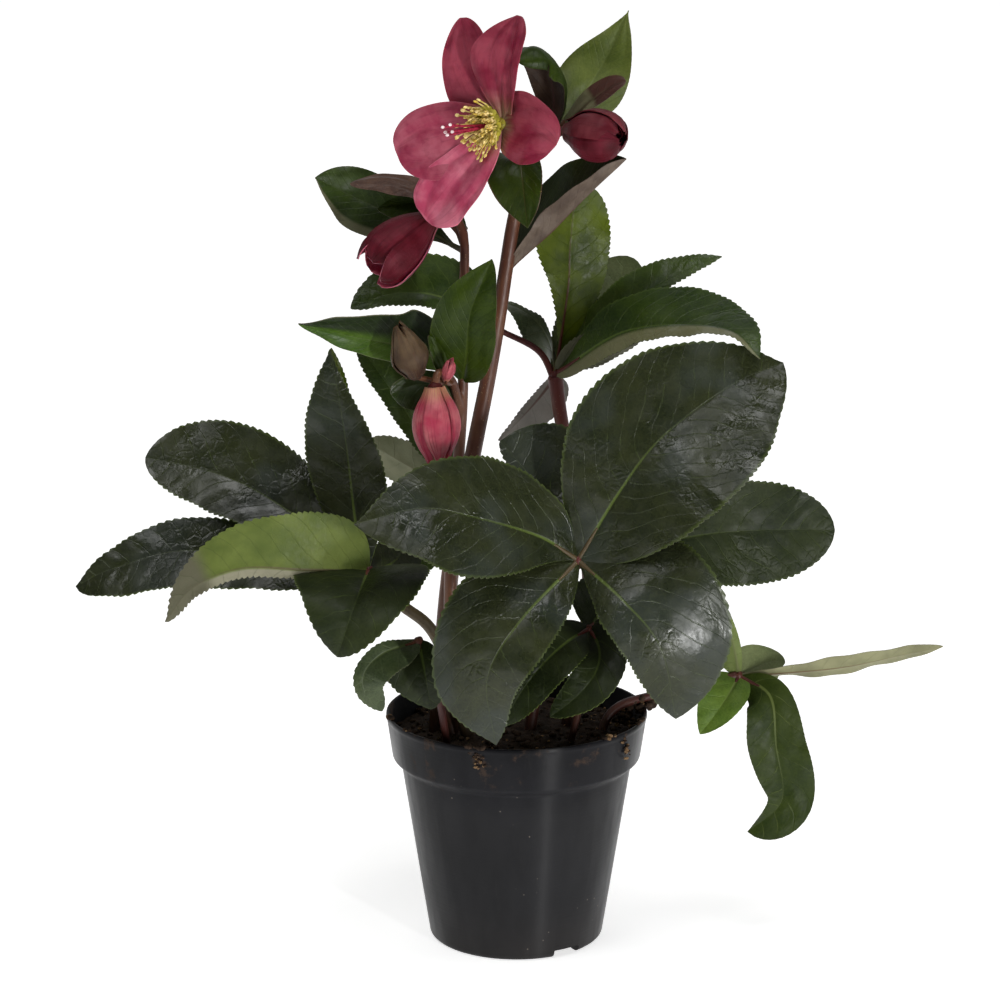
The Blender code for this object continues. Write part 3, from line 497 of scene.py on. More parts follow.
def vein_count(x, y, number, style):
    """How many side veins lie below a point; they bend forward and differ left and right."""
    spacing, slant = style[:2]
    away = np.abs(x)
    wander = 0.20 * np.sin(y * 0.11 + number) + 0.15 * np.sin(away * 0.21 + y * 0.07 + 2.3 * number)
    return (y - away * slant - 0.010 * away ** 2) / spacing + wander + 0.5 * (x > 0.1)


def relief(x, y, s, v, style, number):
    """Height of the skin over the bare sheet, in mm."""
    _, _, puff, groove, wave, pleat = style
    away = np.abs(x)
    count = vein_count(x, y, number, style)
    fade = (1 - np.exp(-(x / 3.0) ** 2)) * np.clip((1 - np.abs(s)) * 5, 0, 1) * np.clip(v * 8, 0, 1)
    uneven = 0.55 + 0.45 * np.sin(np.floor(count) * 2.4 + away * 0.33 + number)
    high = puff * fade * uneven * (np.abs(np.sin(np.pi * count)) - 0.5)
    high += 0.5 * puff * fade * np.sin(x * 0.37 + number) * np.sin(y * 0.29 + 2 * number)
    high -= groove * np.exp(-(x / 1.1) ** 2) * (1 - 0.75 * v)
    crease = np.abs(np.sin(4.2 * s + 1.7 * number + 0.9 * np.sin(5 * v + number)))
    high += pleat * (crease - 0.6) * np.clip(v * 4, 0, 1) * np.clip((1 - v) * 6, 0, 1)
    turn = number * 2.1
    slow = np.sin(y * 0.13 + turn + 1.1 * np.sign(s)) + 0.55 * np.sin(y * 0.31 - turn)
    return high + wave * slow * s ** 2 * np.clip(v * 5, 0, 1) * np.clip((1 - v) * 6, 0, 1)


print("relief ready")

# %% The sheet
RIM_COLUMN = 0.955  # the last column but one, which keeps the teeth narrow


def full(points, face, left, right, fold_l=(8, 0), fold_r=(8, 0), face_tip=None):
    """A blade's numbers, with the usual folds filled in."""
    return points, face, left, right, fold_l, fold_r, face_tip or face


def sheet(name, spec, finishes, number=0, thick=0.7, tooth=0.9, pitch=3.0, cols=12, style=LEAF,
          least=(1.2, 0.25), neck=2.0, rows=None):
    """A blade. least is its narrowest half width at foot and tip, neck its thickness at the foot."""
    points, face, left, right, fold_l, fold_r, face_tip = full(*spec)
    rib, length = line_through(points, RIB_STEPS)
    rows = rows or 3 * min(max(round(length / pitch), 8), 42)

    def rule(x0, y0, top):
        knots = np.linspace(0, 1, cols + 1)
        where = knots ** 1.25
        where[-2] = RIM_COLUMN
        s = np.sign(x0) * np.interp(np.abs(x0), knots, where)
        size, hand, half = np.abs(s), np.sign(s), s >= 0
        row = np.round(y0 * rows).astype(int)
        v = row / rows
        rim = np.abs(x0) > 0.999
        saw = np.choose(row % 3, [0.0, 0.6, 1.0]) * np.clip(v * 7 - 0.6, 0, 1) * np.clip((1 - v) * 12, 0, 1)
        jitter = 0.75 + 0.5 * np.abs(np.sin((row // 3) * 12.9898 + number * 3.1))
        v = np.clip(v + rim * (row % 3 == 2) * tooth * 0.35 / length, 0, 1)
        i = np.minimum((v * RIB_STEPS).astype(int), RIB_STEPS - 1)
        part = column(v * RIB_STEPS - i)
        foot = rib[i] * (1 - part) + rib[i + 1] * part
        steps = np.gradient(rib, axis=0)
        along = unit(steps[i] * (1 - part) + steps[i + 1] * part)
        look = unit(np.array(face, float)) * column(1 - v) + unit(np.array(face_tip, float)) * column(v)
        up = unit(look - column((look * along).sum(1)) * along)
        side = np.cross(along, up)
        wide, low, tip = (np.where(half, right[k], left[k]) for k in range(3))
        floor = least[0] + (least[1] - least[0]) * np.clip(v * 3, 0, 1)
        reach = np.maximum(wide * fullness(v, low, tip), floor) * size + rim * saw * jitter * tooth
        start = np.radians(np.where(half, fold_r[0], fold_l[0]))
        turn = np.radians(np.where(half, fold_r[1], fold_l[1])) * np.minimum(size, 1)
        bend = np.abs(turn) > 1e-3
        safe = np.where(bend, turn, 1.0)
        out_x = np.where(bend, reach * (np.sin(start + turn) - np.sin(start)) / safe, reach * np.cos(start))
        out_h = np.where(bend, reach * (np.cos(start) - np.cos(start + turn)) / safe, reach * np.sin(start))
        lean = start + turn * size
        out = unit(up * column(np.cos(lean)) - side * column(hand * np.sin(lean) * np.minimum(size * 3, 1)))
        flat_x, flat_y = hand * reach, v * length
        high = relief(flat_x, flat_y, s, v, style, number)
        body = thick * (1 - 0.55 * size ** 3) + neck * np.exp(-(v / 0.05) ** 2) * np.exp(-(flat_x / 2.5) ** 2)
        body += 0.7 * thick * np.exp(-(flat_x / 0.9) ** 2) * (1 - v) * (top < 0.5)
        high += np.where(top > 0.5, 0.5, -0.5) * body
        place = foot + side * column(hand * out_x) + up * column(out_h) + out * column(high)
        return place, (flat_x, flat_y, number), (s, v, vein_count(flat_x, flat_y, number, style))

    return laid(name, finishes, cols, rows, rule)


print("sheet ready")

# %% [markdown]
# ## The palmate leaves
# Each leaf is a hand of leaflets on one stalk. The numbers of a leaflet are its rib, the
# way its upper face looks, its left and right half (width, fullness at foot and tip) and how
# each half is folded and curled, where that differs from the usual. The first point of
# every rib is the hub, so it stands only once, after the stalk's line and radii.

# %% Tables of the leaves
LEAVES = [  # name, line and radii of the stalk, hub, then rib, face, halves and folds of each leaflet
    ("leaf_front", [(3, -6, 84), (14, -6, 150), (26, -20, 190), (29, -56, 207)], (3.0, 2.6), (29, -57, 208), [
        ([(48, -60, 242), (68, -57, 268), (101, -47, 291), (126, -38, 300)], (-0.3, -1, 0.4), (40, 1.0, 1.05),
         (46, 0.7, 0.65)),
        ([(11, -66, 222), (-19, -80, 235), (-45, -86, 241), (-76, -88, 234)], (0, -0.9, 0.6), (30, 1.2, 0.9),
         (30, 1.0, 1.25), (4, 0), (4, 0)),
        ([(1, -86, 186), (-14, -92, 160), (-10, -84, 125)], (-0.1, -1, 0.3), (18, 0.8, 0.9), (33, 0.8, 1.0),
         (4, -10), (4, -10)),
        ([(49, -82, 196), (67, -90, 175), (75, -84, 138)], (0.2, -1, 0.35), (41, 0.45, 0.65), (17, 1.1, 0.9),
         (6, -8), (-10, -20)),
        ([(84, -24, 211), (118, -12, 211), (155, -8, 210)], (0, -1, 0.35), (24, 1.1, 0.55), (26, 1.1, 0.55),
         (8, 0), (-2, -6)),
        ([(17, -36, 231), (7, -30, 242), (-8, -26, 259)], (0.2, -1, 0.1), (6, 0.7, 0.5), (32, 0.7, 0.5)),
    ]),
    ("leaf_left", [(-18, -14, 84), (-37, -30, 158), (-56, -40, 182), (-71, -46, 199)], (3.6, 2.6),
     (-71, -46, 200), [
        ([(-115, -30, 229), (-143, -24, 242), (-179, -18, 249)], (0.1, -0.9, 0.6), (20, 1.1, 0.6),
         (27, 1.0, 0.6)),
        ([(-77, -36, 220), (-82, -28, 260), (-89, -20, 303)], (-0.2, -1, 0.1), (20, 1.3, 1.1), (17, 1.1, 1.8),
         (4, 0), (4, -10)),
        ([(-80, -16, 262), (-84, -12, 286), (-89, -14, 302)], (0, 1, 0), (2, 0.7, 0.5), (8, 0.7, 0.5)),
        ([(-152, -42, 209), (-192, -40, 200), (-212, -38, 190)], (0.05, -0.9, 0.7), (20, 0.6, 0.5),
         (16, 1.2, 1.0)),
        ([(-100, -65, 206), (-130, -70, 208), (-153, -68, 198), (-167, -64, 180)], (0, 1, 0.1),
         (27, 0.45, 1.2), (4.5, 0.6, 0.4), (8, 0), (0, 0), (0.1, 0.8, -0.1)),
        ([(-76, -88, 195), (-84, -96, 172)], (-0.1, -0.9, 0.7), (31, 0.28, 0.8), (33, 0.28, 0.7), (20, -26),
         (20, -26)),
        ([(-58, -32, 202), (-55, -20, 212)], (0.6, -0.4, 0.6), (12, 0.6, 0.6), (13, 0.6, 0.6)),
    ]),
    ("leaf_right", [(22, 8, 84), (36, 10, 170), (27, 22, 233), (22, 24, 258), (19, 26, 279)], (4.0, 3.2),
     (19, 26, 280), [
        ([(25, 28, 322), (26, 28, 344), (29, 30, 375)], (-0.15, 1, 0.1), (20, 1.0, 0.45), (20, 2.3, 0.45)),
        ([(12, 36, 302), (-9, 46, 313)], (-0.7, 0.2, 0.7), (10, 0.6, 0.7), (3.5, 0.6, 0.8)),
        ([(47, 22, 307), (70, 22, 326), (100, 26, 339)], (-0.4, -0.7, 0.6), (15, 0.7, 0.85), (5, 0.5, 0.9),
         (8, 0), (-18, 0)),
        ([(49, 4, 305), (78, -16, 314), (102, -38, 315), (114, -52, 305)], (0, -0.6, 0.9), (23, 1.15, 1.0),
         (10, 0.5, 0.9), (28, 0), (-22, 0), (0.5, -0.3, 0.9)),
        ([(9, 34, 264), (-9, 30, 246)], (0.3, 0.7, 0.6), (3, 0.5, 0.7), (13, 0.5, 0.7)),
        ([(41, 26, 288), (62, 30, 297)], (0.2, 0.9, 0.5), (3, 0.6, 0.8), (16, 0.6, 0.8)),
        ([(45, 50, 313), (55, 60, 333)], (-0.2, -0.8, 0.5), (18, 0.7, 0.5), (18, 0.7, 0.5)),
    ]),
    ("leaf_low_right", [(38, -10, 84), (46, -2, 114), (70, 10, 121), (110, 18, 128)], (2.4, 2.0),
     (111, 18, 128), [
        ([(160, 10, 135), (190, 8, 142), (211, 6, 147)], (0, 0.8, 0.6), (7, 0.9, 0.7), (7, 0.9, 0.7)),
        ([(126, 6, 121), (129, 0, 97), (132, -4, 70), (115, -8, 55)], (0.1, -1, 0.3), (16, 0.8, 0.48),
         (15, 0.8, 1.25)),
        ([(102, 2, 118), (91, -2, 104)], (-0.2, -1, 0.3), (9.5, 0.45, 0.8), (14, 0.45, 0.8)),
        ([(108, 22, 145), (103, 24, 164)], (0, 1, 0), (3.5, 0.6, 0.8), (10, 0.6, 0.8)),
        ([(126, 28, 132), (135, 30, 131)], (0, -0.9, 0.5), (12, 0.35, 0.8), (10, 0.5, 0.4)),
    ]),
    ("leaf_low_left", [(-31, -34, 84), (-39, -46, 145), (-47, -56, 167)], (2.0, 1.8), (-47, -57, 168), [
        ([(-63, -66, 165), (-72, -70, 157), (-72, -72, 147), (-64, -72, 138)], (0.1, -0.5, 0.8),
         (13, 0.5, 0.6), (5, 0.5, 0.6), (8, 0), (8, 0), (-0.3, -0.8, 0.2)),
        ([(-44, -66, 156), (-41, -66, 137)], (-0.1, -1, 0.3), (9, 0.5, 0.6), (18, 0.6, 0.95)),
    ]),
    ("leaf_low_front", [(21, -22, 84), (32, -28, 135), (35, -32, 166)], (2.0, 1.8), (35, -33, 167), [
        ([(38, -56, 153), (16, -62, 132)], (-0.2, -0.9, 0.4), (13, 0.5, 0.8), (10, 0.5, 0.6)),
        ([(13, -56, 157), (-7, -62, 128)], (-0.1, -0.9, 0.5), (13, 0.5, 0.6), (13, 0.5, 0.6)),
        ([(43, -18, 178), (46, -8, 190)], (0, -0.9, 0.6), (16, 0.6, 0.6), (16, 0.6, 0.6)),
    ]),
    ("leaf_back", [(-8, 24, 84), (-18, 30, 154), (-26, 42, 211)], (3.0, 2.4), (-26, 42, 212), [
        ([(-48, 38, 228), (-75, 40, 243)], (-0.2, 0.7, 0.4), (12, 0.6, 0.6), (15, 0.6, 0.6)),
        ([(-34, 26, 202), (-50, 17, 182)], (0, -0.7, 0.7), (10, 0.6, 0.6), (10, 0.6, 0.6)),
        ([(-55, 34, 260), (-78, 40, 292)], (0.2, -0.8, 0.3), (7, 0.8, 0.45), (19, 0.8, 0.45)),
        ([(12, 66, 222), (63, 76, 219)], (0.1, 0.5, 0.8), (24, 0.7, 0.6), (24, 0.7, 0.6)),
        ([(-34, 90, 211), (-45, 128, 190)], (0, 0.4, 0.9), (24, 0.7, 0.6), (24, 0.7, 0.6)),
    ]),
]
# Small stalk that leaves the head of the right leaf's stalk, and its one leaflet.
SIDE_STALK = ([(19, 26, 277), (11, 30, 291), (-6, 32, 300), (-18, 27, 307)], (1.8, 1.4))
SIDE_LEAFLET = ([(-17.4, 26.9, 306.6), (-47, 26, 321), (-81, 22, 314)], (0, -0.9, 0.6), (7, 0.8, 0.7),
                (20, 0.45, 0.8))
print("leaves:", len(LEAVES))

# %% [markdown]
# ## Stalks
# A stalk is a soft rod that grew: it is round, swells where something leaves it, and its
# skin is red-brown with paler dots. Rods that meet are laid through each other and then
# melted into one skin by a fine remesh, which rounds the crotch as growth does.

# %% Stalk finish
PAINTED_SHADE_HEIGHTS = (0.120, 0.185)  # heights in m between which the painted shade on the stalks fades, darkest towards the soil


def stalk_skin(name, dark, light, dot, gloss=0.42):
    f = Finish(name, dark, specular_ior_level=0.32)
    place = f.place()
    streak = f.noise(f.stretch(place, 260, 260, 40), 1.0, 3.0, 0.6)
    dots = f.cells(f.stretch(place, 900, 900, 520), 1.0, "F1")
    share = f.span(dots, 0.10, 0.22, 1.0, 0.0) * f.span(f.noise(place, 160, 1.0), 0.45, 0.6)
    height = f.split(place)[2] + f.noise(place, 60, 3.0) * 0.05
    f.coat(f.span(f.noise(place, 35), 0.35, 0.65), light)
    f.coat(f.span(streak, 0.45, 0.75, 0.0, 0.55), tint(dark, 0.5))
    f.coat(share * 0.7, dot)
    # Painted shade: the stalks darken towards the soil, where the leaves shade them.
    f.coat(f.span(height, *PAINTED_SHADE_HEIGHTS, 0.85, 0.0), (18, 10, 7))
    f.set("Roughness", f.span(streak, 0.3, 0.8, gloss - 0.06, gloss + 0.12))
    f.done(streak + share * 0.5, 0.0003, 0.6)


stalk_skin("flower_stalk", (80, 25, 14), (125, 50, 24), (340, 200, 100))
stalk_skin("leaf_stalk", (85, 16, 14), (125, 42, 26), (220, 100, 60))
stalk_skin("dull_stalk", (75, 52, 24), (120, 85, 40), (180, 130, 70))
print("stalk finishes: 3")

# %% [markdown]
# A sheet is fine enough for teeth about 3 mm apart, with twelve columns on each side of the
# rib. Small leaflets get fewer. All leaflets of one hand are then joined into one piece,
# with a small knuckle where they meet on the stalk.

# %% Rods and knuckles
def radius_at(v, radii, flare):
    size = radii[0] + (radii[1] - radii[0]) * v
    return size * (1 + (flare[0] - 1) * math.exp(-v * 14) + (flare[1] - 1) * math.exp((v - 1) * 14))


def rod(name, points, radii, flare=(1.0, 1.0), *finishes):
    """A round tapered rod along a smooth line, closed at both ends."""
    count = min(48, 4 * len(points) + 32)
    line = line_through(points, count)[0]
    steps = [Vector(step) for step in unit(np.gradient(line, axis=0))]
    line = [Vector(point) for point in line]
    bm = bmesh.new()
    bmesh.ops.create_circle(bm, cap_ends=True, radius=1.0, segments=16)
    bm.faces.ensure_lookup_table()
    face = bm.faces[0]
    turn = Vector((0, 0, 1)).rotation_difference(steps[0]).to_matrix()
    for vert in face.verts:
        vert.co = line[0] + turn @ vert.co * radius_at(0, radii, flare)
    for i in range(1, count + 1):
        new = bmesh.ops.extrude_face_region(bm, geom=[face])["geom"]
        face = next(g for g in new if isinstance(g, bmesh.types.BMFace))
        bend = steps[i - 1].rotation_difference(steps[i]).to_matrix()
        size = radius_at(i / count, radii, flare) / radius_at((i - 1) / count, radii, flare)
        for vert in face.verts:
            vert.co = line[i] + bend @ (vert.co - line[i - 1]) * size
    bmesh.ops.scale(bm, vec=(MM, MM, MM), verts=bm.verts)
    return piece(name, bm, *finishes)


def knuckle(name, centre, radius, finish):
    """A small uneven ball."""
    bm = bmesh.new()
    bmesh.ops.create_icosphere(bm, subdivisions=3, radius=radius * MM)
    for vert in bm.verts:
        vert.co *= 1 + 0.18 * noise.noise(vert.co * 600 + Vector((radius, 0, 0)))
    bmesh.ops.translate(bm, vec=Vector(centre) * MM, verts=bm.verts)
    return piece(name, bm, finish)


def half_width(spec):
    return max(spec[2][0], spec[3][0])


print("rods ready")

# %% The leaves
HUB_R = 2.6
# Upper and lower face of each hand.
HAND_SKINS = {
    "leaf_front": ("old_leaf", "grey_under"), "leaf_left": ("old_leaf", "leaf_under"),
    "leaf_right": ("side_leaf", "red_under"), "leaf_low_right": ("young_leaf", "beige_under"),
    "leaf_low_left": ("low_leaf", "grey_under"), "leaf_low_front": ("low_leaf", "leaf_under"),
    "leaf_back": ("side_leaf", "grey_under"),
}
# Leaflets whose skin differs from that of their hand, by place in the hand.
ODD_SKINS = {
    ("leaf_left", 3): ("old_leaf", "red_under"), ("leaf_left", 5): ("old_leaf", "bent_under"),
    ("leaf_left", 6): ("far_leaf", "leaf_under"), ("leaf_right", 2): ("grey_leaf", "grey_under"),
    ("leaf_right", 4): ("arched_leaf", "grey_under"), ("leaf_right", 5): ("side_leaf", "purple_under"),
    ("leaf_right", 6): ("side_leaf", "grey_under"), ("leaf_right", 7): ("pale_leaf", "grey_under"),
    ("leaf_low_left", 1): ("grey_leaf", "grey_under"), ("leaf_front", 5): ("far_leaf", "grey_under"),
    ("leaf_low_right", 3): ("bright_leaf", "lime_under"), ("leaf_low_right", 4): ("bright_leaf", "lime_under"),
    ("leaf_low_right", 5): ("pale_leaf", "lime_under"), ("leaf_back", 1): ("side_leaf", "dull_under"),
}


def leaf_detail(name, wide):
    """Columns and teeth to suit a leaflet's width; the lowest leaf at the right has hardly any teeth."""
    saw = 0.15 if name == "leaf_low_right" else 0.85
    if wide > 24:
        return dict(cols=12, tooth=saw, pitch=3.0)
    if wide > 13:
        return dict(cols=10, tooth=0.85 * saw, pitch=2.8)
    return dict(cols=7, tooth=0.55 * saw, pitch=2.6)


number = 0
for name, stalk_line, radii, hub, leaflets in LEAVES:
    stalklet = "dull_stalk" if name == "leaf_front" else "leaf_stalk"
    parts = []
    for k, (points, *rest) in enumerate(leaflets, 1):
        number += 1
        spec = ([hub, *points], *rest)
        wide = half_width(spec)
        skin = ODD_SKINS.get((name, k), HAND_SKINS[name])
        parts.append(sheet(f"{name}_{number}", spec, skin, number, **leaf_detail(name, wide)))
        foot = line_through(spec[0], RIB_STEPS)[0][[0, 4, 8]]
        parts.append(rod("stalklet", foot, (1.6 if wide > 12 else 1.1, 0.5), (1, 1), stalklet))
    parts.append(knuckle("hub", hub, HUB_R, "leaf_stalk"))
    keep(gather(name + "_hand", parts), name + "_blades")
keep(gather("leaf_right_side_leaflet", [sheet("side_leaflet", SIDE_LEAFLET, ("side_leaf", "grey_under"), 40,
                                              cols=9, tooth=0.7)]), "leaf_right_far_leaflet")

# %% Table of the flowering stems
STEMS = [  # a main line, then the small stalks of its flowers and buds
    ("flower_stem_right", [
        ([(-40, -2, 84), (-33, 2, 182), (-22, 2, 242), (-14, 2, 283), (-9, 2, 312), (-5, 2, 339),
          (-1, 4, 363), (6, 8, 387), (22, 24, 405)], (5.0, 3.0)),
        ([(6, 8, 387), (15, 10, 398), (23, 8, 404)], (2.4, 2.0)),
        ([(4, 8, 382), (3, 0, 398), (-5, -16.5, 410)], (2.4, 2.0)),
    ]),
    ("flower_stem_left", [
        ([(-32, -14, 84), (-32, -10, 196), (-28, -12, 249), (-26, -14, 281), (-26, -14, 316),
          (-25, -10, 344), (-26, -6, 358), (-31, -4, 364), (-39, -5, 365)], (4.0, 2.0)),
        ([(-27, -14, 271), (-31, -24, 288), (-37, -37, 295), (-39, -41, 290)], (2.2, 1.8)),
        ([(-31, -24, 288), (-39, -33, 290), (-48, -40, 294)], (1.6, 1.4)),
        ([(-31, -24, 288), (-32, -30, 288), (-34, -34, 290)], (1.3, 1.2)),
    ]),
]
print("stems:", len(STEMS))

# %% The stalks
def melt(obj, voxel, finish):
    """Several rods made one closed skin."""
    for kind, settings in (("REMESH", dict(mode="VOXEL", voxel_size=voxel * MM)),
                           ("SMOOTH", dict(factor=0.5, iterations=3))):
        mod = obj.modifiers.new(kind.lower(), kind)
        for key, value in settings.items():
            setattr(mod, key, value)
    obj.data = bpy.data.meshes.new_from_object(obj.evaluated_get(bpy.context.evaluated_depsgraph_get()))
    obj.modifiers.clear()
    obj.data.materials.clear()
    obj.data.materials.append(SKIN[finish])
    obj.data.shade_smooth()
    return obj


for name, points, radii, *_ in LEAVES:
    rods = [rod(name + "_rod", points, radii, (1.15, 1.25))]
    if name == "leaf_right":
        rods.append(rod("side_rod", *SIDE_STALK, (1.2, 1.1)))
    skin = "dull_stalk" if name in ("leaf_left", "leaf_back") else "leaf_stalk"
    keep(melt(gather(name + "_stem", rods), 0.55, skin), name + "_stalk")
for name, lines in STEMS:
    rods = [rod(f"{name}_{i}", *line, (1.1, 1.2)) for i, line in enumerate(lines)]
    keep(melt(gather(name + "_rods", rods), 0.6, "flower_stalk"), name)

# %% [markdown]
# ## Bracts
# The small leaves of a flowering stem. They are softer and greener than the leaves, with
# veins that run forward almost beside the rib and only a hint of teeth.

# %% Table of the bracts
BRACTS = [
    ("left_upright", "green", [(-26, -15, 286), (-24, -26, 300), (-22, -33, 323), (-12, -34, 349)],
     (-0.1, -1, 0.4), (18, 0.75, 1.0), (14, 0.6, 0.75), (10, 0), (10, 0)),
    ("left_cupped", "green", [(-26, -13, 292), (-52, -18, 303), (-76, -36, 312), (-103, -44, 320)],
     (0.1, -0.9, 0.3), (9, 0.6, 0.7), (20, 0.8, 1.0), (8, 0), (8, 0), (-0.1, -0.6, -0.5)),
    ("left_low", "green", [(-27, -15, 274), (-42, -24, 286), (-60, -31, 283)], (0.2, -0.6, 0.8),
     (13, 0.5, 0.35), (7, 0.35, 0.4), (-25, -15), (30, 20)),
    ("left_tall", "green", [(-25, -9, 348), (-46, 15, 355), (-78, 20, 369), (-97, 13, 380)], (0.2, -0.9, 0.3),
     (16, 2.4, 1.1), (15, 1.9, 0.8)),
    ("left_brown", "brown", [(-26, -8, 352), (-46, 5, 375), (-80, 6, 378)], (0, 0.5, -0.9), (7, 1.1, 0.6),
     (7, 1.1, 0.6)),
    ("left_small", "green", [(-24.8, -3.6, 357.5), (-42, 9, 368), (-67, 10, 365)], (-0.2, -1, 0.3),
     (11, 0.9, 0.7), (5, 0.6, 0.7)),
    ("left_bud_side", "green", [(-32, -26, 288), (-37, -30, 300), (-42, -33, 312)], (0.2, -0.8, 0.5),
     (3.5, 0.6, 0.6), (3.5, 0.6, 0.6), (12, 0), (12, 0)),
    ("right_curled", "green", [(18, 21, 401), (18, 25, 418), (15, 23, 434), (8, 14, 443), (-1, 5, 438)],
     (0.35, 1, 0.1), (22, 0.7, 0.6), (12, 0.8, 0.6), (-5, -88), (-5, -30), (0.3, 0.2, 1)),
    ("right_tall", "green", [(22, 26, 402), (38, 44, 424), (47, 44, 440), (54, 40, 457)], (-0.2, -1, 0.2),
     (17, 0.9, 1.4), (18, 0.9, 1.3)),
    ("right_brown", "brown", [(22, 21, 401), (38, 15, 419), (52, 10, 427)], (-0.1, -0.8, 0.6), (6, 0.5, 0.4),
     (5, 0.5, 0.4)),
    ("right_hanging", "green", [(6, 8, 388), (2, -4, 390), (3, -13, 379), (5, -18, 361)], (0, 0.1, 1),
     (10, 0.7, 0.9), (17, 0.7, 1.0), (10, 0), (10, 0), (-0.1, -1, 0.1)),
    ("right_trough", "green", [(-5, 3, 336), (14, 6, 353), (35, 0, 375), (52, -4, 392)], (-0.5, -0.3, 1),
     (26, 0.8, 0.8), (11, 0.6, 0.7), (20, 15), (70, 0)),
]
print("bracts:", len(BRACTS))

# %% The bracts
BRACT_SKINS = {
    "left_cupped": ("cupped_bract_painted_shade", "bract_under"), "left_low": ("dark_bract", "bract_under"),
    "left_tall": ("pale_rim_bract", "bract_under"), "right_curled": ("bract_top", "hood_under"),
    "right_trough": ("dark_bract", "bract_under"), "right_tall": ("tall_bract", "bract_under"),
    "right_hanging": ("red_rim_bract", "bract_under"), "right_brown": ("two_tone_bract",) * 2,
}
for i, (name, colour, *spec) in enumerate(BRACTS):
    wide, green = half_width(spec), colour == "green"
    skin = BRACT_SKINS.get(name, ("bract_top", "bract_under") if green else ("brown_bract",) * 2)
    bract = sheet(f"bract_{name}_sheet", spec, skin, 50 + i, cols=10 if wide > 12 else 7, thick=0.65,
                  tooth=0.08 if wide > 9 else 0.0, pitch=2.4, style=BRACT, least=(1.6, 0.3), neck=1.2)
    keep(bract, "bract_" + name)

# %% [markdown]
# ## The open flower
# Five sepals make the cup; what look like petals are sepals. Inside stand a ring of small
# green tubes, the nectaries, then dozens of stamens with yellow anthers, and in the middle
# a few long dark red styles. The anthers are two small lobes each, repeated by a
# spiral rule, the way a flower head sets them.

# %% Sepal and bud finishes
sepal_skin("open_sepal", (120, 7, 24), (265, 24, 59), (375, 88, 126), (420, 320, 180))
# Lighter and darker copies of the open sepal's colour: painted light on the lowest sepal and painted shade on
# the right and upper ones. The lighter copy is also the pale inner face of the half-open left bud.
sepal_skin("pale_inner_and_painted_lit_sepal", (190, 15, 42), (420, 53, 111), (570, 165, 228), (420, 320, 180))
sepal_skin("painted_shade_sepal", (85, 4, 12), (190, 10, 32), (278, 44, 70), (380, 290, 160))
sepal_skin("bud_sepal", (17, 1, 2), (68, 3, 8), (118, 11, 21), (50, 14, 10), dark_edge=0.3, rim=0.15,
           shine=0.10)
# A lighter copy of the bud colour for sepals that face up: painted top light.
sepal_skin("painted_top_light_sepal", (44, 3, 8), (88, 8, 14), (160, 34, 42), (80, 30, 22), rim=0.15, shine=0.10)
sepal_skin("young_sepal", (120, 4, 16), (350, 32, 67), (470, 134, 148), (420, 260, 120), foot=0.24,
           dark_edge=0.5, rim=0.2, fine=0.55)
sepal_skin("brown_sepal", (18, 9, 7), (55, 32, 18), (105, 68, 36), (30, 14, 12), foot=0.70, dark_edge=0.2,
           rim=0.1, shine=0.12)


def powder(name, dark, light, grain, rough):
    """A fine speckle of two colours."""
    f = Finish(name, dark, roughness=rough, specular_ior_level=0.25)
    speckle = f.noise(f.place(), grain, 3.0, 0.6)
    f.coat(f.span(speckle, 0.35, 0.65), light)
    f.done(speckle, 0.0002, 0.6)


powder("filament", (560, 440, 80), (860, 720, 300), 300, 0.5)
powder("anther", (550, 380, 50), (950, 760, 340), 330, 0.7)
powder("nectary", (220, 190, 20), (440, 380, 40), 400, 0.4)
powder("style", (220, 8, 25), (420, 25, 70), 600, 0.4)
powder("stigma", (700, 500, 500), (900, 800, 800), 900, 0.5)
print("flower finishes: 12")

# %% Tables of the flower and the buds
# The open flower looks to the left and a little forward. Its sepals all start at its heart.
FLOWER = (-7, -20, 411)
FLOWER_AXIS = (-0.72, -0.69, 0.02)
SEPALS = [
    ([(-31, -15, 407), (-58, -3, 396)], (-0.5, -0.85, 0), (22, 0.5, 0.45), (15, 0.65, 0.5), (6, 8), (6, 8)),
    ([(-20, -24, 395), (-43, -20, 365)], (-0.6, -0.8, 0.35), (18, 1.0, 0.55), (17, 1.1, 0.35)),
    ([(6, -38, 411), (18, -46, 405)], (-0.6, -0.8, 0.2), (17, 0.4, 0.5), (17, 0.4, 0.35)),
    ([(-7, -26, 433), (-4, -24, 447), (0, -18, 462)], (-0.5, -0.9, -0.1), (18, 1.5, 1.0), (11, 0.5, 0.4),
     (6, 0), (16, 20)),
    ([(-19, -12, 435), (-27, -4, 459)], (-0.3, -1, -0.1), (18, 0.5, 0.75), (11, 0.7, 0.45)),
]
# Buds: foot, mouth, then the cup's radius at four even steps from foot to mouth,
# and the number of wrapped sepals.
BUDS = [
    ("bud_left", (-40, -5, 364), (-70, -19, 340), (3, 11, 14, 12), 5, "maroon"),
    ("bud_right", (24, 6, 404), (50, -14, 403), (3, 11, 12, 9), 5, "maroon"),
    ("bud_hanging", (-39, -41, 289), (-37, -45, 252), (3, 11, 11, 4), 5, "rose"),
    ("bud_young_brown", (-48, -40, 295), (-56, -48, 321), (3.5, 9.5, 6, 3.0), 4, "brown"),
    ("bud_tiny", (-34, -34, 291), (-31, -41, 302), (1.2, 2.8, 2.4, 1.6), 3, "rose"),
]
print("sepals:", len(SEPALS), "buds:", len(BUDS))

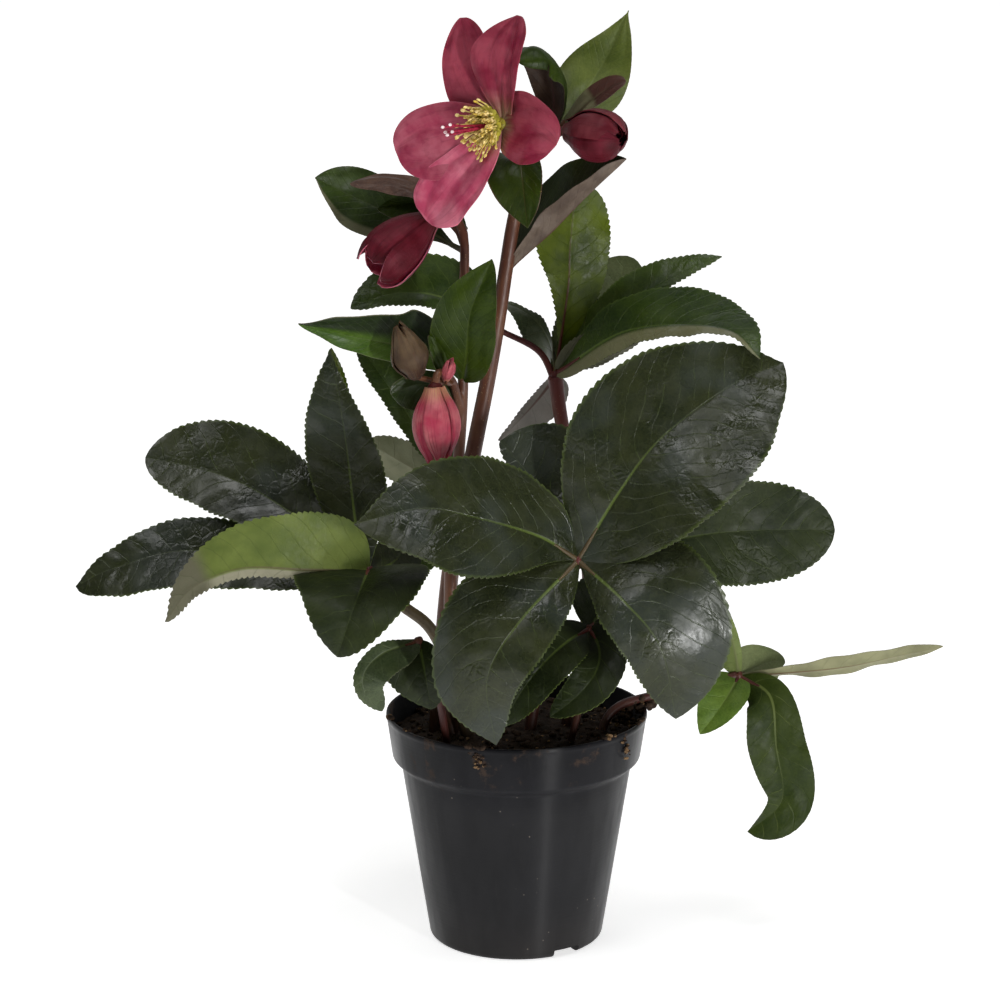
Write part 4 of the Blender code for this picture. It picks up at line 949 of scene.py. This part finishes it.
# %% Sepals of the open flower
parts = []
for i, (points, *rest) in enumerate(SEPALS):
    # Painted light on the lowest sepal, painted shade on the right and upper ones.
    skin = ("open_sepal", "pale_inner_and_painted_lit_sepal", "painted_shade_sepal")[min(i, 2)]
    parts.append(sheet(f"sepal_{i}", ([FLOWER, *points], *rest), (skin, skin), 70 + i, cols=14, thick=0.6,
                       tooth=0.0, style=SEPAL, least=(2.6, 0.4), neck=1.0, rows=66))
parts.append(knuckle("flower_base", FLOWER, 3.4, "nectary"))
keep(gather("flower_sepals", parts), "open_flower_sepals")

# %% Small shapes in one mesh
def put(bm, new, place, along=None, finish=0):
    """New vertices turned from upright to along, moved to their place and given a finish."""
    if along:
        turn = Vector((0, 0, 1)).rotation_difference(along).to_matrix()
        bmesh.ops.rotate(bm, cent=(0, 0, 0), matrix=turn, verts=new)
    bmesh.ops.translate(bm, vec=Vector(place) * MM, verts=new)
    for face in {f for v in new for f in v.link_faces}:
        face.material_index = finish


def lay_cone(bm, foot, along, r0, r1, length, sides, finish=0):
    new = bmesh.ops.create_cone(bm, cap_ends=True, segments=sides, radius1=r0 * MM, radius2=r1 * MM,
                                depth=length * MM)["verts"]
    bmesh.ops.translate(bm, vec=(0, 0, length * MM / 2), verts=new)
    put(bm, new, foot, along, finish)


def lay_bead(bm, centre, along, size, levels=1):
    new = bmesh.ops.create_icosphere(bm, subdivisions=levels, radius=1.0)["verts"]
    bmesh.ops.scale(bm, vec=Vector(size) * MM, verts=new)
    put(bm, new, centre, along, 1)


def across(axis):
    """Two directions square to an axis and to each other."""
    axis = axis.normalized()
    e1 = axis.orthogonal().normalized()
    return e1, axis.cross(e1)


def ray(e1, e2, angle):
    return e1 * math.cos(angle) + e2 * math.sin(angle)


print("cones and beads ready")

# %% Stamens and styles
STAMENS, NECTARIES, STYLES = 84, 16, 5
GOLDEN_TURN = 2.399963  # the angle from one stamen to the next in the spiral
axis = Vector(FLOWER_AXIS).normalized()
e1, e2 = across(axis)
seat = Vector(FLOWER) + axis * 5.6
rng = random.Random(11)
bm = bmesh.new()
lay_cone(bm, seat, axis, 5.6, 5.0, 2.6, 28, 2)
for i in range(STAMENS):
    out = ray(e1, e2, i * GOLDEN_TURN)
    far = math.sqrt((i + 0.5) / STAMENS)
    tilt = math.radians(5 + 40 * far * rng.uniform(0.75, 1.1))
    length = 6.5 + 6.5 * rng.random() + 2.0 * far
    along = (axis * math.cos(tilt) + out * math.sin(tilt)).normalized()
    foot = seat + axis * 1.2 + out * (1.9 + 2.8 * far)
    bow = (along + axis * rng.uniform(-0.1, 0.6) + e1 * rng.uniform(-0.2, 0.2)
           + Vector((0, 0, rng.uniform(-0.75, -0.05)))).normalized()
    knee = foot + along * length * 0.55
    head = knee + bow * length * 0.45
    lay_cone(bm, foot, along, 0.46, 0.36, length * 0.57, 5)
    lay_cone(bm, knee, bow, 0.36, 0.30, length * 0.45, 5)
    for side in (-1, 1):
        lay_bead(bm, head + out.cross(bow) * 0.42 * side, bow, (0.66, 0.58, 1.1 + 0.35 * rng.random()))
for i in range(NECTARIES):
    out = ray(e1, e2, i * math.tau / NECTARIES)
    lay_cone(bm, seat + out * 5.0 + axis * 0.4, (axis * 0.85 + out * 0.55).normalized(), 1.0, 1.9, 6.0, 10, 2)
keep(piece("flower_stamens", bm, "filament", "anther", "nectary", sharp=60), "open_flower_stamens")

bm = bmesh.new()
lay_cone(bm, seat + axis * 0.3, axis, 1.5, 1.1, 7.0, 12)
for i in range(STYLES):
    out = ray(e1, e2, i * math.tau / STYLES + 0.4)
    foot = seat + axis * 5.0 + out * 0.55
    along = (axis + out * 0.07).normalized()
    bow = (along + out * 0.12 * (1 if i % 2 else -0.2)).normalized()
    knee, length = foot + along * 14.8, 8.5 + (i % 3) * 1.5
    lay_cone(bm, foot, along, 0.62, 0.50, 15, 8)
    lay_cone(bm, knee, bow, 0.50, 0.40, length, 8)
    lay_bead(bm, knee + bow * (length + 0.2), bow, (0.75, 0.75, 1.0), 2)
keep(piece("flower_styles", bm, "style", "stigma", sharp=60), "open_flower_styles")

# %% [markdown]
# ## Buds
# A bud is a cup of overlapping sepals: each one wraps part of the cup, a little further out
# at one side than at the other, so that the next one slips under it.

# %% A wrapped sepal
def wrapped_sepal(name, foot, axis, length, radii, turn, spread, lap, finish, number, flare, blunt=0.0):
    """blunt is 0 for a pointed tip and 1 for a bud that is shut and flat at its mouth."""
    e1, e2 = across(axis)
    size = len(radii) - 1

    def cup(at):
        return np.interp(at, range(size + 1), radii)

    def rule(s, v, top):
        r = 0.35 * cup(v * size) + 0.65 * ((cup(v * size + 0.35) + cup(v * size - 0.35)) / 2)
        start = 0.45 + 0.40 * blunt
        narrow = np.where(v > start, np.sqrt(np.maximum(1 - ((v - start) / (1.01 - start)) ** 2, 0.015)), 1.0)
        angle = turn + spread * s * narrow
        ridge = 0.28 * np.exp(-(s / 0.10) ** 2) * (1 - v) + 0.25 * np.sin(s * 9 + number) * v
        r = r + lap * s + ridge + flare * v ** 3 * (s ** 2) + (top - 0.5) * 0.6
        r = r * (1 - 0.62 * blunt * np.clip((v - 0.80) / 0.20, 0, 1) ** 2)
        place = np.array(foot) + np.outer(length * v, np.array(axis.normalized()))
        place = place + np.outer(r * np.cos(angle), np.array(e1)) + np.outer(r * np.sin(angle), np.array(e2))
        return place, (s * 8, v * length, number), (s, v, length)

    under = "pale_inner_and_painted_lit_sepal" if 0.4 < blunt < 0.7 and finish == "bud_sepal" else finish
    return laid(name, (finish, under), 9, 30, rule)


print("wrapped sepal ready")

# %% The buds
BUD_SKINS = {"maroon": "bud_sepal", "rose": "young_sepal", "brown": "brown_sepal"}
BLUNT = {"bud_right": 1.0, "bud_left": 0.5, "bud_young_brown": 0.5}
for k, (name, foot, mouth, radii, count, colour) in enumerate(BUDS):
    foot, axis = Vector(foot), Vector(mouth) - Vector(foot)
    lap = 0.8 if radii[1] > 4 else 0.55
    shut = name == "bud_right"
    share = math.tau / count
    parts = []
    for i in range(count):
        turn = i * share + 0.3
        # Sepals of the shut bud that face up take the lighter copy: painted top light.
        skin = "painted_top_light_sepal" if shut and ray(*across(axis), turn).z > 0.6 else BUD_SKINS[colour]
        parts.append(wrapped_sepal(f"{name}_{i}", foot, axis, axis.length * (1 - 0.06 * (i % 2)), radii, turn,
                                   share * (0.72 if colour == "maroon" else 0.62), lap * (1.6 if shut else 1.0),
                                   skin, 90 + k * 7 + i, 0.8 if radii[3] > 10 else -1.2, BLUNT.get(name, 0.0)))
        if shut:
            parts.append(wrapped_sepal(f"{name}_inner_{i}", foot, axis, axis.length * 0.93,
                                       [0.62 * r for r in radii], turn + 0.6, share * 0.8, 1.5, "bud_sepal",
                                       140 + i, -1.0, 0.8))
    parts.append(knuckle("bud_base", foot + axis.normalized() * radii[0] * 0.3, radii[0] + 0.8 * lap,
                         "brown_sepal" if colour == "brown" else "bud_sepal"))
    keep(gather(name + "_sepals", parts), name)

# %% [markdown]
# ## Pot
# A moulded nursery pot: a thin wall that widens upwards, a band round the rim and two
# notches in the foot so that water can leave. Its outline is turned once round the axis. The
# plastic is nearly black and satin, with rubbed streaks and dried soil under the rim.

# %% Finish of the pot
# Sizes in mm; the turn of the first notch is in degrees.
RIM_R, POT_H, BASE_R, WALL_FOOT, BAND_LOW, NECK_R = 65.0, 116.0, 43.4, 3.0, 92.0, 57.2
NOTCH_W, NOTCH_IN, NOTCH_H, NOTCH_TURN, SOIL_TOP = 15.0, 10.0, 4.0, -54.5, 106.0


def pot_plastic():
    f = Finish("pot_plastic", (3, 3, 4), specular_ior_level=0.15, anisotropic=0.92, anisotropic_rotation=0.25)
    place = f.place()
    z = f.split(place)[2]
    cloud = f.noise(place, 22, 4.0, 0.6)
    rub = f.noise(f.stretch(place, 90, 90, 16), 1.0, 4.0, 0.65)
    scratch = f.noise(f.stretch(place, 40, 40, 900), 1.0)
    smear = f.span(f.noise(place, 60, 5.0, 0.7), 0.56, 0.66)
    under_rim = f.span(z, 0.080, 0.114)
    fleck = f.span(f.cells(place, 210, "F1"), 0.05, 0.11, 1.0, 0.0) * f.span(cloud, 0.56, 0.62)
    f.coat(f.span(cloud, 0.3, 0.7), (8, 8, 10))
    f.coat(f.span(z, 0.075, 0.092, 0.5, 0.0), (17, 17, 18))
    f.coat(f.span(rub, 0.55, 0.80, 0.0, 0.22), (45, 43, 42))
    f.coat(f.span(z, 0.0, 0.035, 0.25, 0.0) * cloud, (55, 45, 38))
    f.coat(smear * under_rim * 0.55, (80, 52, 36))
    f.coat(fleck * 0.6, (200, 170, 140))
    f.set("Roughness", f.span(rub, 0.3, 0.75, 0.30, 0.48) + smear * (under_rim * 0.3))
    f.done(f.noise(place, 200) * 0.2 + scratch * 0.8 + cloud, 0.00012, 0.5)


pot_plastic()
print("pot finish ready")

# %% Turned shapes
def turned(profile, steps):
    """A profile of (radius, height) in mm turned once round the axis."""
    bm = bmesh.new()
    verts = [bm.verts.new((r * MM, 0, z * MM)) for r, z in profile]
    edges = [bm.edges.new(pair) for pair in zip(verts, verts[1:])]
    bmesh.ops.spin(bm, geom=verts + edges, cent=(0, 0, 0), axis=(0, 0, 1), dvec=(0, 0, 0),
                   angle=math.tau, steps=steps, use_merge=True)
    bmesh.ops.remove_doubles(bm, verts=bm.verts, dist=0.00001)
    bmesh.ops.recalc_face_normals(bm, faces=bm.faces)
    return bm


def rounded(corners, radius=0.5, steps=4):
    """The same profile with each corner between its ends made a small curve."""
    p = [Vector(c) for c in corners]
    line = [p[0]]
    for a, b, c in zip(p, p[1:], p[2:]):
        r = min(radius, (a - b).length / 2.2, (c - b).length / 2.2)
        start, end = b + (a - b).normalized() * r, b + (c - b).normalized() * r
        for i in range(steps + 1):
            u = i / steps
            line.append((1 - u) ** 2 * start + 2 * u * (1 - u) * b + u * u * end)
    return line + [p[-1]]


print("turning ready")

# %% The pot
def notch_cutter(k):
    bm = bmesh.new()
    bmesh.ops.create_cube(bm, size=1.0)
    bmesh.ops.scale(bm, vec=(NOTCH_IN * MM * 2, NOTCH_W * MM, NOTCH_H * MM * 2), verts=bm.verts)
    bmesh.ops.bevel(bm, geom=bm.edges[:], offset=0.6 * MM, offset_type="OFFSET", segments=3,
                    profile=0.5, material=-1, affect="EDGES")
    bmesh.ops.translate(bm, vec=(BASE_R * MM, 0, 0), verts=bm.verts)
    turn = Matrix.Rotation(math.radians(NOTCH_TURN + 180 * k), 3, "Z")
    bmesh.ops.rotate(bm, cent=(0, 0, 0), verts=bm.verts, matrix=turn)
    return piece(f"notch_{k}", bm, sharp=60)


def make_pot():
    outer = [(0, 0.6), (36, 0.6), (38, 0), (BASE_R - 2.2, 0), (BASE_R - 0.3, 1.6),
             (NECK_R + 0.1, BAND_LOW - 2), (NECK_R + 2.6, BAND_LOW), (NECK_R + 4.4, BAND_LOW + 1.6),
             (RIM_R - 0.5, POT_H - 3), (RIM_R, POT_H - 1.6), (RIM_R - 0.4, POT_H)]
    inner = [(RIM_R - 1.7, POT_H), (NECK_R + 3.2, BAND_LOW + 1.2), (NECK_R - 1.0, BAND_LOW - 2),
             (BASE_R - 1.3, WALL_FOOT + 1.2), (BASE_R - 2.6, WALL_FOOT), (0, WALL_FOOT)]
    bm = turned(rounded(outer + inner, 1.1), 160)
    for vert in bm.verts:
        swell = noise.noise(vert.co * 14) * 0.35 + noise.noise(vert.co * 45) * 0.10
        side = Vector((vert.co.x, vert.co.y, 0))
        if side.length > 0.03 and vert.co.z > 0.004:
            vert.co += side.normalized() * (swell - 0.3) * MM
    pot = piece("nursery_pot", bm, "pot_plastic", sharp=40)
    group = bpy.data.collections.new("notches")
    cutters = [notch_cutter(k) for k in range(2)]
    for cutter in cutters:
        bpy.context.scene.collection.objects.unlink(cutter)
        group.objects.link(cutter)
    bpy.context.scene.collection.children.link(group)
    mod = pot.modifiers.new("notches", "BOOLEAN")
    mod.operation, mod.operand_type, mod.collection, mod.solver = "DIFFERENCE", "COLLECTION", group, "EXACT"
    pot.data = bpy.data.meshes.new_from_object(pot.evaluated_get(bpy.context.evaluated_depsgraph_get()))
    pot.modifiers.clear()
    pot.data.shade_smooth()
    pot.data.set_sharp_from_angle(angle=math.radians(35))
    for cutter in cutters:
        bpy.data.objects.remove(cutter, do_unlink=True)
    bpy.data.collections.remove(group)
    return pot


keep(make_pot(), "pot")

# %% [markdown]
# ## Soil
# Potting compost is lumps on lumps: dark fibres with tan grains. The top is raised by
# several sizes of noise, and then a few hundred small grains are scattered with a seeded
# draw, dark ones and tan ones, some of them on the pot's rim.

# %% Finish of the soil
def soil_skin(name, dark, light, rough=0.95):
    f = Finish(name, dark, roughness=rough, specular_ior_level=0.2)
    place = f.place()
    clod = f.noise(place, 180, 5.0, 0.7)
    fibre = f.noise(f.stretch(place, 500, 900, 700), 1.0, 4.0, 0.7)
    f.coat(f.span(clod, 0.35, 0.7), light)
    f.coat(f.span(fibre, 0.62, 0.75, 0.0, 0.6), tint(light, 2.6))
    f.done(clod + fibre * 0.6, 0.0012, 0.9)


soil_skin("compost", (13, 8, 5), (38, 23, 15))
soil_skin("crumb_dark", (20, 12, 8), (56, 34, 21))
soil_skin("crumb_tan", (110, 62, 28), (300, 190, 100), 0.8)
print("soil finishes: 3")

# %% The soil
DARK, TAN = 1, 2  # places of the crumbs' finishes on the soil
SCATTERED = 620
# Crumbs washed up against the wall: x, y, how far they spread, how many.
DRIFTS = [(-20, -62, 5, 12), (46, -44, 5, 14), (-54, -33, 3, 4), (60, -19, 6, 22), (-62, -14, 3, 4)]
# Crumbs stuck on the rim.
CLUMPS = [(-19.5, -61.5, 111), (-17.5, -62.3, 109), (-18.5, -62.4, 106.5), (52, -36, 112), (53.5, -35, 108),
          (53, -34, 104)]


def soil_height(x, y):
    """Height of the compost's surface at a point, in mm."""
    r = math.hypot(x, y)
    p = Vector((x, y, 3.0))
    lumps = noise.noise(p * 0.055) * 2.6 + noise.noise(p * 0.16) * 1.6 + noise.noise(p * 0.42) * 0.8
    return SOIL_TOP + 2.2 - 3.0 * (r / 56) ** 3 + lumps * min(1, (60 - r) / 6)


def soil_body():
    low = [(0, 3.6), (BASE_R - 3.4, 3.6), (BASE_R - 2.2, 5.0), (NECK_R - 1.8, BAND_LOW - 2.4)]
    high = [(59.0, BAND_LOW + 4), (60.2, SOIL_TOP - 2)]
    rings = [(60.0 * (1 - k / 46), SOIL_TOP) for k in range(1, 46)]
    bm = turned(low + high + rings + [(0, SOIL_TOP)], 150)
    for vert in bm.verts:
        x, y, z = vert.co / MM
        if z > SOIL_TOP - 0.01:
            vert.co.z = soil_height(x, y) * MM
    for vert in bm.verts:
        if vert.co.z > (SOIL_TOP - 4) * MM and math.hypot(vert.co.x, vert.co.y) < 0.0585:
            vert.co.x += noise.noise(vert.co * 700) * 0.0007
            vert.co.y += noise.noise(vert.co * 700 + Vector((9, 9, 9))) * 0.0007
    return bm


def lay_crumb(bm, place, size, finish, rng):
    new = bmesh.ops.create_icosphere(bm, subdivisions=2 if size > 1.3 else 1, radius=size * MM)["verts"]
    seed = Vector((rng.random(), rng.random(), rng.random())) * 50
    for vert in new:
        vert.co *= 1 + 0.5 * noise.noise(vert.co * (900 / size) + seed)
        vert.co.z *= 0.75
    put(bm, new, place, None, finish)


def make_soil():
    bm = soil_body()
    rng = random.Random(5)
    for _ in range(SCATTERED):
        r, angle = 60 * math.sqrt(rng.random()), rng.uniform(0, math.tau)
        x, y = r * math.cos(angle), r * math.sin(angle)
        finish = TAN if rng.random() < 0.16 else DARK
        size = rng.uniform(0.4, 1.0) if finish == TAN else rng.uniform(0.5, 2.3) * rng.uniform(0.4, 1.0)
        lay_crumb(bm, (x, y, soil_height(x, y) + size * 0.35), size, finish, rng)
    for x, y, spread, count in DRIFTS:
        for _ in range(count):
            at = Vector((x + rng.gauss(0, spread * 0.6), y + rng.gauss(0, spread * 0.4)))
            at = at.normalized() * min(at.length, 64.0)
            high = POT_H + 0.2 if at.length > 62.4 else SOIL_TOP + 4.5 + rng.uniform(0, 4)
            lay_crumb(bm, (*at, high), rng.uniform(0.6, 1.7), rng.choice((DARK, DARK, TAN)), rng)
    for _ in range(90):  # the heap at the right
        u = rng.random()
        at = (50 + 18 * u + rng.gauss(0, 1.5), 1 + 9 * u + rng.gauss(0, 2.0), 110 + 9 * u + rng.gauss(0, 2.2))
        lay_crumb(bm, at, rng.uniform(0.6, 2.2), rng.choice((DARK, DARK, DARK, DARK, TAN)), rng)
    for x, y, z in CLUMPS:
        for _ in range(7):
            at = Vector((x, y)) + Vector((rng.gauss(0, 1.6), rng.gauss(0, 0.8)))
            at = at.normalized() * 64.2
            lay_crumb(bm, (*at, z + rng.gauss(0, 1.3)), rng.uniform(0.5, 1.2), rng.choice((DARK, TAN)), rng)
    return piece("potting_soil", bm, "compost", "crumb_dark", "crumb_tan", sharp=70)


keep(make_soil(), "soil")

# %% [markdown]
# ## Floor
# A plain pale sweep catches the soft shadow under the foot. It is not part of the plant.

# %% Floor and the count of pieces
Finish("pale_floor", (900, 900, 900), roughness=0.9, specular_ior_level=0.1,
       emission_color=(1000, 1000, 1000), emission_strength=0.69).done()
bm = bmesh.new()
bmesh.ops.create_grid(bm, x_segments=2, y_segments=2, size=9.0)
piece("floor", bm, "pale_floor", sharp=60)
print("pieces:", len(made), "triangles:", sum(made.values()))
